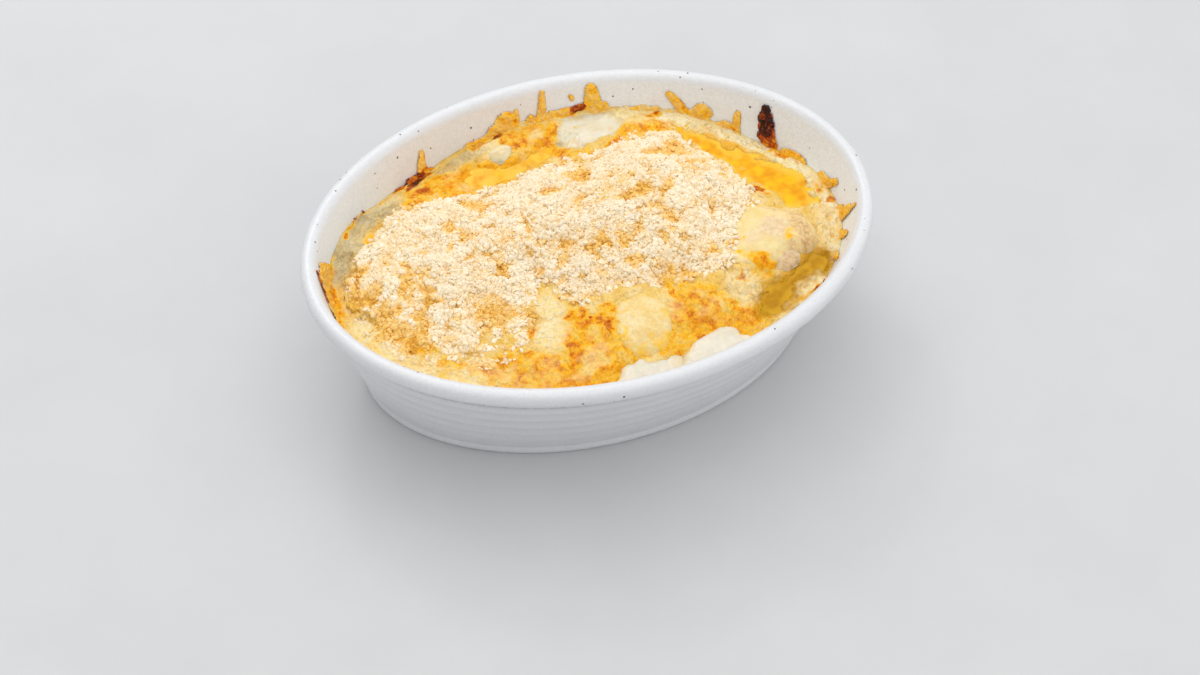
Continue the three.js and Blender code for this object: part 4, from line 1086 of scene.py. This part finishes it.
def splash_cover(angle, level):
    """How far inside a splash a place on the wall lies (0 at its rim), how thick, browned and pale it is."""
    degrees = np.degrees(angle)
    ahead_x, ahead_y = oval_point(angle + 0.01, 8)
    here_x, here_y = oval_point(angle, 8)
    around = np.hypot(ahead_x - here_x, ahead_y - here_y) / np.degrees(0.01)
    here = round_the_wall(angle, level)
    ragged = layered_lumps(*here, 3.0, 71)
    edge = edge_level(angle)
    behind = np.exp(-(((degrees - 66) / 40) ** 4))
    uneven = 0.8 * layered_lumps(*round_the_wall(angle, 0), 5, 74) * (0.4 + behind)
    crust = 2.6 * behind - 0.9 + uneven + 0.3 * ragged
    cover = np.clip((edge + crust - level) / 2.2, -1, 1)
    thick = 0.9 * np.sqrt(np.clip(cover, 0, 1))
    browning = 0.1 + 0.2 * layered_lumps(*here, 5, 77)
    pale = np.ones(level.shape)
    for foot, foot_level, foot_reach, top, top_level, top_reach, brown in SPLASHES:
        along = (degrees - foot + 180) % 360 - 180
        span_x, span_y = (top - foot) * around, top_level - foot_level
        covered = along * around * span_x + (level - foot_level) * span_y
        share = np.clip(covered / (span_x**2 + span_y**2), 0, 1)
        apart = np.hypot(along * around - share * span_x, level - foot_level - share * span_y)
        reach = (foot_reach + (top_reach - foot_reach) * share) * (1 + 0.15 * ragged)
        strength = 1 - apart / reach
        dome = np.sqrt(np.clip(1 - (1 - strength) ** 2, 0, 1)) * (0.5 + 0.3 * np.minimum(reach, 3.4))
        over = strength > (0 if brown > 0.6 else np.maximum(cover, 0))
        middle = (brown if brown > 0.6 else 0.36 * brown) + 0.08 * ragged
        browning = np.where(over, middle + (0.0 if brown > 0.6 else 0.2) * fade(strength, 0.5, 0.0), browning)
        pale = np.where(over, 0.0, pale)
        cover = np.maximum(cover, strength)
        thick = np.maximum(thick, np.where(strength > 0, dome, 0))
    return cover, thick, browning, pale


def splashes():
    """A fine band round the inner wall, kept only where cheese splashed up, and thinning to its rims."""
    piece = grid_piece("browned_splashes", 1300, 44)
    points = points_of(piece)
    angle = (points[:, 0] + 1) * np.pi
    level = edge_level(angle) - 2.2 + (points[:, 1] + 1) / 2 * (55.0 - edge_level(angle) + 2.2)
    cover, thick, browning, pale = splash_cover(angle, level)
    beads = clods(angle * 86, level, 2.3, 82)
    grainy = layered_lumps(*round_the_wall(angle, level), 1.5, 81)
    thick = thick * (0.6 + 0.6 * beads + 0.25 * grainy)
    # More browning in the hollows between the beads, which is painted shade, and some at random.
    browning = browning + 0.24 * fade(beads, 0.5, 0.1) + 0.1 * grainy
    x, y = oval_point(angle, inner_inset(level) + 0.05 + np.clip(thick, 0, 2))
    move_points(piece, x, y, level)
    store(piece, "browning", np.clip(browning, 0, 1))
    store(piece, "pale", pale)
    store(piece, "filmy", 0.6 * fade(cover, 0.16, 0.0) * (browning < 0.5))
    drop_faces(piece, cover > 0.0)
    shell = piece.modifiers.new("back against the wall", "SOLIDIFY")
    shell.thickness = 0.25 * MM
    shell.offset = 1 if piece.data.polygons[0].normal.dot(piece.data.polygons[0].center) > 0 else -1
    bpy.ops.object.modifier_apply(modifier=shell.name)
    edit(piece, "FACE")
    outward(piece)
    return dress(piece, SPLASHED, "baked_cheese")


# Oil


def pool(name, corners, level, node, surface):
    """A flat pool a little wider than its shore, which the bake hides."""
    outline = smooth_outline(corners, 70)
    low, high = outline.min(axis=0) - 5, outline.max(axis=0) + 5
    piece = grid_piece(name, int((high[0] - low[0]) / 0.7), int((high[1] - low[1]) / 0.7))
    points = points_of(piece)
    x = low[0] + (points[:, 0] + 1) / 2 * (high[0] - low[0])
    y = low[1] + (points[:, 1] + 1) / 2 * (high[1] - low[1])
    inward = depth_inside(x, y, outline)
    share = place_on_bake(x, y)[1]
    move_points(piece, x, y, level - 0.02 * fade(-inward, 0, 1))
    store(piece, "depth", fade(inward + 2.2 * layered_lumps(x, y, 3.4, 85), -1.4, 2.4))
    drop_faces(piece, (past_shore(x, y, corners) > -1.7) & (inward > -4.5) & (share < 0.985))
    give_depth(piece, level - 1.6)
    return dress(piece, surface, "dark_oil" if surface is DARK_OIL else "oil", node)


# Toppings


def topping(name, corners, crown, flatness, surface, slot, node, columns=90, rough=0.25, browned_rim=0.45,
            seed=1, bottom=44.0, rim_lift=-0.2, browned_spots=(), thin_spots=(), striped_spots=(), lift=None):
    """A rounded piece that melts into the bake at its rim and rises to a crown level, or by a lift."""
    outline = smooth_outline(corners, 240)
    middle = outline.mean(axis=0)
    piece = grid_piece(name, columns, int(columns * 0.8))
    angle, share = disc_shares(points_of(piece))
    steps = (angle / (2 * np.pi) % 1) * len(outline)
    index = np.floor(steps).astype(int) % len(outline)
    part = (steps % 1)[:, None]
    rim = outline[index] * (1 - part) + outline[(index + 1) % len(outline)] * part
    uneven = 1 + 0.05 * layered_lumps(*rim.T, 5, seed + 9)
    x, y = (middle + (rim - middle) * (share * uneven)[:, None]).T
    wall_angle, wall_share = place_on_bake(x, y)
    against_wall = fade(wall_share, 0.93, 0.97)
    squeeze = np.minimum(1, 0.996 / np.maximum(wall_share, 1e-6))
    x, y = x * squeeze, y * squeeze
    wall_angle, wall_share = place_on_bake(x, y)
    ground = sunk_under_pools(x, y, broad_level(x, y, wall_angle, wall_share)) + rim_lift
    off_rim = share + (np.minimum(share, 0.8) - share) * against_wall
    rise_share = np.clip(1 - off_rim**flatness, 0, 1) ** 0.8
    level = ground + ((crown - ground) if lift is None else lift) * rise_share
    relief = layered_lumps(x, y, 6, seed) + 0.4 * layered_lumps(x, y, 1.8, seed + 5, 2)
    level = level + rough * relief * fade(1 - off_rim, 0, 0.3)
    lean = 1 + 0.36 * against_wall * (level - edge_level(wall_angle) + 0.6) / 72
    move_points(piece, x * lean, y * lean, level)
    rim_mask = fade(share + 0.3 * layered_lumps(x, y, 3, seed + 8), 0.6, 1.1)
    store(piece, "browning", np.maximum(browned_rim * rim_mask, patches(x, y, browned_spots, 0.5)))
    store(piece, "thin", patches(x, y, thin_spots, 0.5))
    store(piece, "striped", patches(x, y, striped_spots, 0.5))
    store(piece, "rim", rim_mask)
    close_below(piece, [lambda a, b, c: (a, b, bottom)])
    return dress(piece, surface, slot, node)


# Heap of grated cheese


HEAP_OUTLINE = smooth_outline(HEAP, 96)


def heap_surface(x, y):
    """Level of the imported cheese, how high a point lies on its clod, and how far in from the edge."""
    angle, share = place_on_bake(x, y)
    ground = broad_level(x, y, angle, np.minimum(share, 1))
    inward = depth_inside(x, y, HEAP_OUTLINE) + 1.4 * layered_lumps(x, y, 6, 95) + 0.5 * lumps(x, y, 1.9, 97)
    relief = 1.5 * lumps(x, y, 8, 90)
    for strength, size, seed in ((1.9, 5.2, 91), (0.9, 2.8, 92), (0.4, 1.5, 93)):
        relief = relief + strength * clods(x, y, size, seed)
    relief = relief - 0.9 * patches(x, y, HEAP_GAPS)
    level = heap_level(x, y, inward, ground) + (relief - 3.0) * fade(inward, -1, 3)
    melted = melting(x, y) * (1 - fade(inward, 5, 11))
    level = level + (ground - 0.3 + (0.5 + 0.5 * relief) * fade(inward, 0, 4) - level) * melted
    level = np.where(inward > 0, level, ground - 0.8 + 0.35 * inward)
    return level, (relief + 0.5) / 3.6, inward


def melting(x, y):
    """Where the grated cheese has started to melt."""
    return patches(x, y, HALF_MELTED)


def heap_core():
    low, high = HEAP_OUTLINE.min(axis=0) - 3, HEAP_OUTLINE.max(axis=0) + 3
    piece = grid_piece("packed_cheese", int((high[0] - low[0]) / 0.45), int((high[1] - low[1]) / 0.45))
    points = points_of(piece)
    x = low[0] + (points[:, 0] + 1) / 2 * (high[0] - low[0])
    y = low[1] + (points[:, 1] + 1) / 2 * (high[1] - low[1])
    level, clod, inward = heap_surface(x, y)
    move_points(piece, x, y, np.minimum(level, HEAP_TOP - 0.6))
    # The packed cheese shows only between the crumbs, where shade falls, so its tint is painted golden shade:
    # golden all over and more in its hollows and gaps. Where it melts, the golden is its own.
    tint = 0.6 + 0.3 * fade(clod, 0.6, 0.25) + 0.5 * patches(x, y, HEAP_GAPS) + 0.2 * melting(x, y)
    store(piece, "tint", np.clip(tint, 0, 1))
    drop_faces(piece, inward > -1.2)
    give_depth(piece, HEAP_FLOOR)
    return dress(piece, CORE, "grated_cheese", "grated_cheese")


def crumb_shapes(count, longest, seed, coarse):
    """A few crumbs, each pinched and stretched from a ball of 20 faces, or from a block if they are fine."""
    draw = np.random.default_rng(seed)
    shapes = []
    for _ in range(count):
        bpy.ops.object.select_all(action="DESELECT")
        if coarse:
            bpy.ops.mesh.primitive_ico_sphere_add(subdivisions=1, radius=1)
        else:
            bpy.ops.mesh.primitive_cube_add(size=1.3)
        ball = bpy.context.object
        points = points_of(ball) * draw.uniform(0.72, 1.28, (len(ball.data.vertices), 1))
        points = points * [draw.uniform(1.0, longest), draw.uniform(0.75, 1.05), draw.uniform(0.6, 0.95)]
        faces = np.array([face.vertices[:] for face in ball.data.polygons])
        shapes.append((points, faces))
        bpy.data.objects.remove(ball, do_unlink=True)
    return shapes


def random_turns(draw, count):
    """Turned frames, one for each crumb."""
    w, x, y, z = draw.normal(size=(4, count))
    length = np.sqrt(w * w + x * x + y * y + z * z)
    w, x, y, z = w / length, x / length, y / length, z / length
    return np.stack([
        np.stack([1 - 2 * (y * y + z * z), 2 * (x * y - w * z), 2 * (x * z + w * y)], axis=1),
        np.stack([2 * (x * y + w * z), 1 - 2 * (x * x + z * z), 2 * (y * z - w * x)], axis=1),
        np.stack([2 * (x * z - w * y), 2 * (y * z + w * x), 1 - 2 * (x * x + y * y)], axis=1),
    ], axis=1)


def joined_crumbs(name, shapes, places, sizes, tints, seed):
    """One mesh of many crumbs: every shape is copied to its own share of the places."""
    draw = np.random.default_rng(seed)
    turns = random_turns(draw, len(places))
    all_points, all_faces, all_tints, start = [], [], [], 0
    for i, (points, faces) in enumerate(shapes):
        chosen = slice(i, None, len(shapes))
        turned = np.einsum("nij,pj->npi", turns[chosen], points) * sizes[chosen, None, None]
        moved = turned + places[chosen, None, :]
        count = len(moved)
        offsets = start + np.arange(count)[:, None, None] * len(points)
        all_points.append(moved.reshape(-1, 3))
        all_faces.append((faces[None] + offsets).reshape(-1, faces.shape[1]))
        all_tints.append(np.repeat(tints[chosen], len(points)))
        start += count * len(points)
    mesh = bpy.data.meshes.new(name)
    mesh.from_pydata(np.concatenate(all_points) * MM, [], np.concatenate(all_faces))
    piece = bpy.data.objects.new(name, mesh)
    bpy.context.collection.objects.link(piece)
    store(piece, "tint", np.concatenate(all_tints))
    return dress(piece, CRUMBS, "grated_cheese")


def level_on(piece, x, y, wanted):
    """Level of a piece's top under each wanted point, and 0 where there is none."""
    levels = np.zeros(len(x))
    for i in np.flatnonzero(wanted):
        hit, place, _, _ = piece.ray_cast((x[i] * MM, y[i] * MM, 0.1), (0, 0, -1))
        levels[i] = place.z / MM if hit else 0
    return levels


def crumbs_on_heap(name, count, low_size, high_size, longest, seed, coarse=False, spill=1.0, fold=None):
    """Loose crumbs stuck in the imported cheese, fewer in its gaps, past its edge and where it melts."""
    draw = np.random.default_rng(seed)
    low = HEAP_OUTLINE.min(axis=0) - LOOSE_CRUMBS_REACH
    high = HEAP_OUTLINE.max(axis=0) + LOOSE_CRUMBS_REACH
    x = draw.uniform(low[0], high[0], count * 4)
    y = draw.uniform(low[1], high[1], count * 4)
    level, clod, inward = heap_surface(x, y)
    gaps, soft = patches(x, y, HEAP_GAPS), melting(x, y)
    chance = np.maximum(fade(inward, -spill - 1.5, 1.2), 0.5 * soft)
    chance = chance * (0.6 + 0.4 * fade(clod, 0.2, 0.5)) * (1 - 0.15 * gaps)
    angle, share = place_on_bake(x, y)
    kept = np.flatnonzero((draw.random(len(x)) < chance) & (share < 0.97))[:count]
    x, y, level, clod, inward, gaps, soft = (v[kept] for v in (x, y, level, clod, inward, gaps, soft))
    sizes = draw.uniform(low_size, high_size, len(kept)) / 2
    ground = broad_level(x, y, angle[kept], share[kept])
    settled = np.where(inward > 0.2, level, ground)
    proud = draw.uniform(-0.5, 0.45, len(kept))
    height = settled + proud * sizes
    if fold:
        height = np.maximum(height, level_on(fold, x, y, inward > -3) + 0.2 * sizes)
    height = np.minimum(height, HEAP_TOP - sizes * longest * 1.3)
    # Crumbs in hollows and gaps, and crumbs that lie lower, are tinted golden, which is painted shade. Where
    # the cheese melts, the golden is its own, and some of the tint is random.
    tint = 0.6 * fade(clod, 0.62, 0.2) + 0.5 * gaps + 0.24 * soft
    tint = tint + draw.normal(0.0, 0.07, len(kept)) + 0.2 * (0.3 - proud)
    tint = np.clip(tint + 0.14 * lumps(x, y, 6, 98), 0, 1)
    shapes = crumb_shapes(6, longest, seed + 1, coarse)
    return joined_crumbs(name, shapes, np.stack([x, y, height], axis=1), sizes, tint, seed + 2)


# The whole part

dish()
bake()
splashes()
pool("golden_oil_right", OIL_BACK_RIGHT, OIL_LEVELS["oil_back_right"], "oil_back_right", OIL)
pool("golden_oil_left", OIL_BACK_LEFT, OIL_LEVELS["oil_back_left"], "oil_back_left", OIL)
pool("dark_oil_channel", OIL_FRONT_RIGHT, OIL_LEVELS["oil_front_right"], "oil_front_right", DARK_OIL)
topping("molten_slab", MOZZARELLA_BACK, 46.5, 8.0, MOLTEN, "melted_mozzarella", "mozzarella_back",
        rough=0.26, browned_rim=0.06, seed=101, lift=1.2, rim_lift=-0.3)
topping("cheese_mound", MELTED_CHEESE_ROUND, 52.6, 1.7, MELTED, "melted_cheese", "melted_cheese_round",
        rough=0.3, browned_rim=0.2, seed=111, columns=130, rim_lift=-0.6,
        browned_spots=[(14, -47, 4, 6, 0, 0.13), (-6, -46, 3, 7, 0, 0.16), (3, -52, 8, 2, 0, 0.13)])
topping("mozzarella_left", MOZZARELLA_FRONT_LEFT, 46.6, 8.0, MOZZARELLA, "mozzarella",
        "mozzarella_front_left", rough=0.42, browned_rim=0.06, seed=121)
topping("mozzarella_right", MOZZARELLA_FRONT_RIGHT, 47.8, 6.0, MOZZARELLA, "mozzarella",
        "mozzarella_front_right", rough=0.42, browned_rim=0.06, seed=131)
topping("pearl", CHEESE_PEARL, 45.9, 1.8, MOLTEN, "melted_mozzarella", "cheese_pearl",
        rough=0.12, browned_rim=0.0, seed=141, columns=60, lift=1.7,
        thin_spots=[(-14.4, 52.4, 4, 4, 0, 0.9)])
topping("filling_mince", FILLING, 47.6, 3.4, MINCE, "filling", "filling",
        rough=0.5, browned_rim=0.0, seed=151)
folded = topping("folded_pasta", PASTA_FOLD, 51.6, 3.0, PASTA, "pasta", "pasta_fold",
                 rough=0.3, browned_rim=0.0, seed=161, rim_lift=-0.3, columns=140,
                 browned_spots=FOLD_BROWNING, thin_spots=FOLD_THIN, striped_spots=FOLD_STRIPED)
heap_core()
crumbs_on_heap("fine_crumbs_low", 11500, 0.9, 1.5, longest=1.3, seed=201, fold=folded)
crumbs_on_heap("fine_crumbs_mid", 11500, 0.9, 1.5, longest=1.3, seed=206, fold=folded)
crumbs_on_heap("coarse_crumbs", 6500, 1.4, 2.2, longest=1.3, seed=221, coarse=True, spill=2.5, fold=folded)
crumbs_on_heap("short_shreds", 2500, 0.7, 0.9, longest=2.4, seed=231, coarse=True, spill=1.5, fold=folded)


# Floor, light and camera

# Camera at the photo's angle, in metres
CAMERA_PLACE = (-0.2532, -0.606, 0.7503)
CAMERA_RIGHT = (0.931, -0.3641, 0.0263)
CAMERA_UP = (0.2586, 0.7086, 0.6566)
CAMERA_BACK = (-0.2577, -0.6045, 0.7538)


def floor_finish():
    material = bpy.data.materials.new("pale floor")
    material.use_nodes = True
    shader = material.node_tree.nodes["Principled BSDF"]
    cloud = cloudy(material.node_tree, 14.0, 0.3)
    colour = blend(material.node_tree, cloud, paint(203, 204, 205), paint(208, 209, 210))
    material.node_tree.links.new(colour, shader.inputs["Base Color"])
    shader.inputs["Roughness"].default_value = 0.7
    return material


def own_way(tree):
    """The way that the sky is looked at."""
    return add(tree, "ShaderNodeTexCoord").outputs["Generated"]


def stage():
    bpy.ops.object.select_all(action="DESELECT")
    bpy.ops.mesh.primitive_plane_add(size=6, location=(0, 0, 0))
    floor = bpy.context.object
    floor.name = "floor"
    floor.data.materials.append(floor_finish())
    world = bpy.data.worlds.new("soft daylight")
    bpy.context.scene.world = world
    world.use_nodes = True
    sky = world.node_tree
    sky.nodes["Background"].inputs["Color"].default_value = (1.0, 1.0, 1.0, 1)
    way = add(sky, "ShaderNodeSeparateXYZ", {"Vector": own_way(sky)}).outputs
    overhead = add(sky, "ShaderNodeMapRange", {"Value": way["Z"], "To Min": 0.5, "To Max": 1.05})
    side = add(sky, "ShaderNodeMapRange", {
        "Value": way["X"], "From Min": -1.0, "To Min": 0.85, "To Max": 1.15,
    })
    strength = work(sky, "MULTIPLY", overhead.outputs["Result"], side.outputs["Result"])
    sky.links.new(strength, sky.nodes["Background"].inputs["Strength"])
    for name, place, size, power in (
        ("window behind", (-0.1, 0.8, 1.0), 0.9, 2.8),
        ("ceiling", (-0.1, 0.1, 1.6), 1.6, 4.0),
        ("window on the right", (0.9, -0.4, 0.3), 0.7, 0.9),
        ("small lamp behind", (-0.05, 0.75, 0.8), 0.12, 0.6),
    ):
        light = bpy.data.lights.new(name, "AREA")
        light.shape = "SQUARE"
        light.size = size
        light.energy = power
        lamp = bpy.data.objects.new(name, light)
        lamp.location = place
        lamp.rotation_euler = (Vector((0, 0, 0.03)) - Vector(place)).to_track_quat("-Z", "Y").to_euler()
        bpy.context.collection.objects.link(lamp)
    bpy.context.scene.view_settings.view_transform = "Standard"


def camera():
    lens = bpy.data.cameras.new("camera")
    lens.lens = 84
    lens.sensor_width = 36
    lens.clip_start = 0.05
    view = bpy.data.objects.new("camera", lens)
    turned = Matrix((CAMERA_RIGHT, CAMERA_UP, CAMERA_BACK)).transposed().to_4x4()
    view.matrix_world = Matrix.Translation(CAMERA_PLACE) @ turned
    bpy.context.collection.objects.link(view)
    bpy.context.scene.camera = view


stage()
camera()
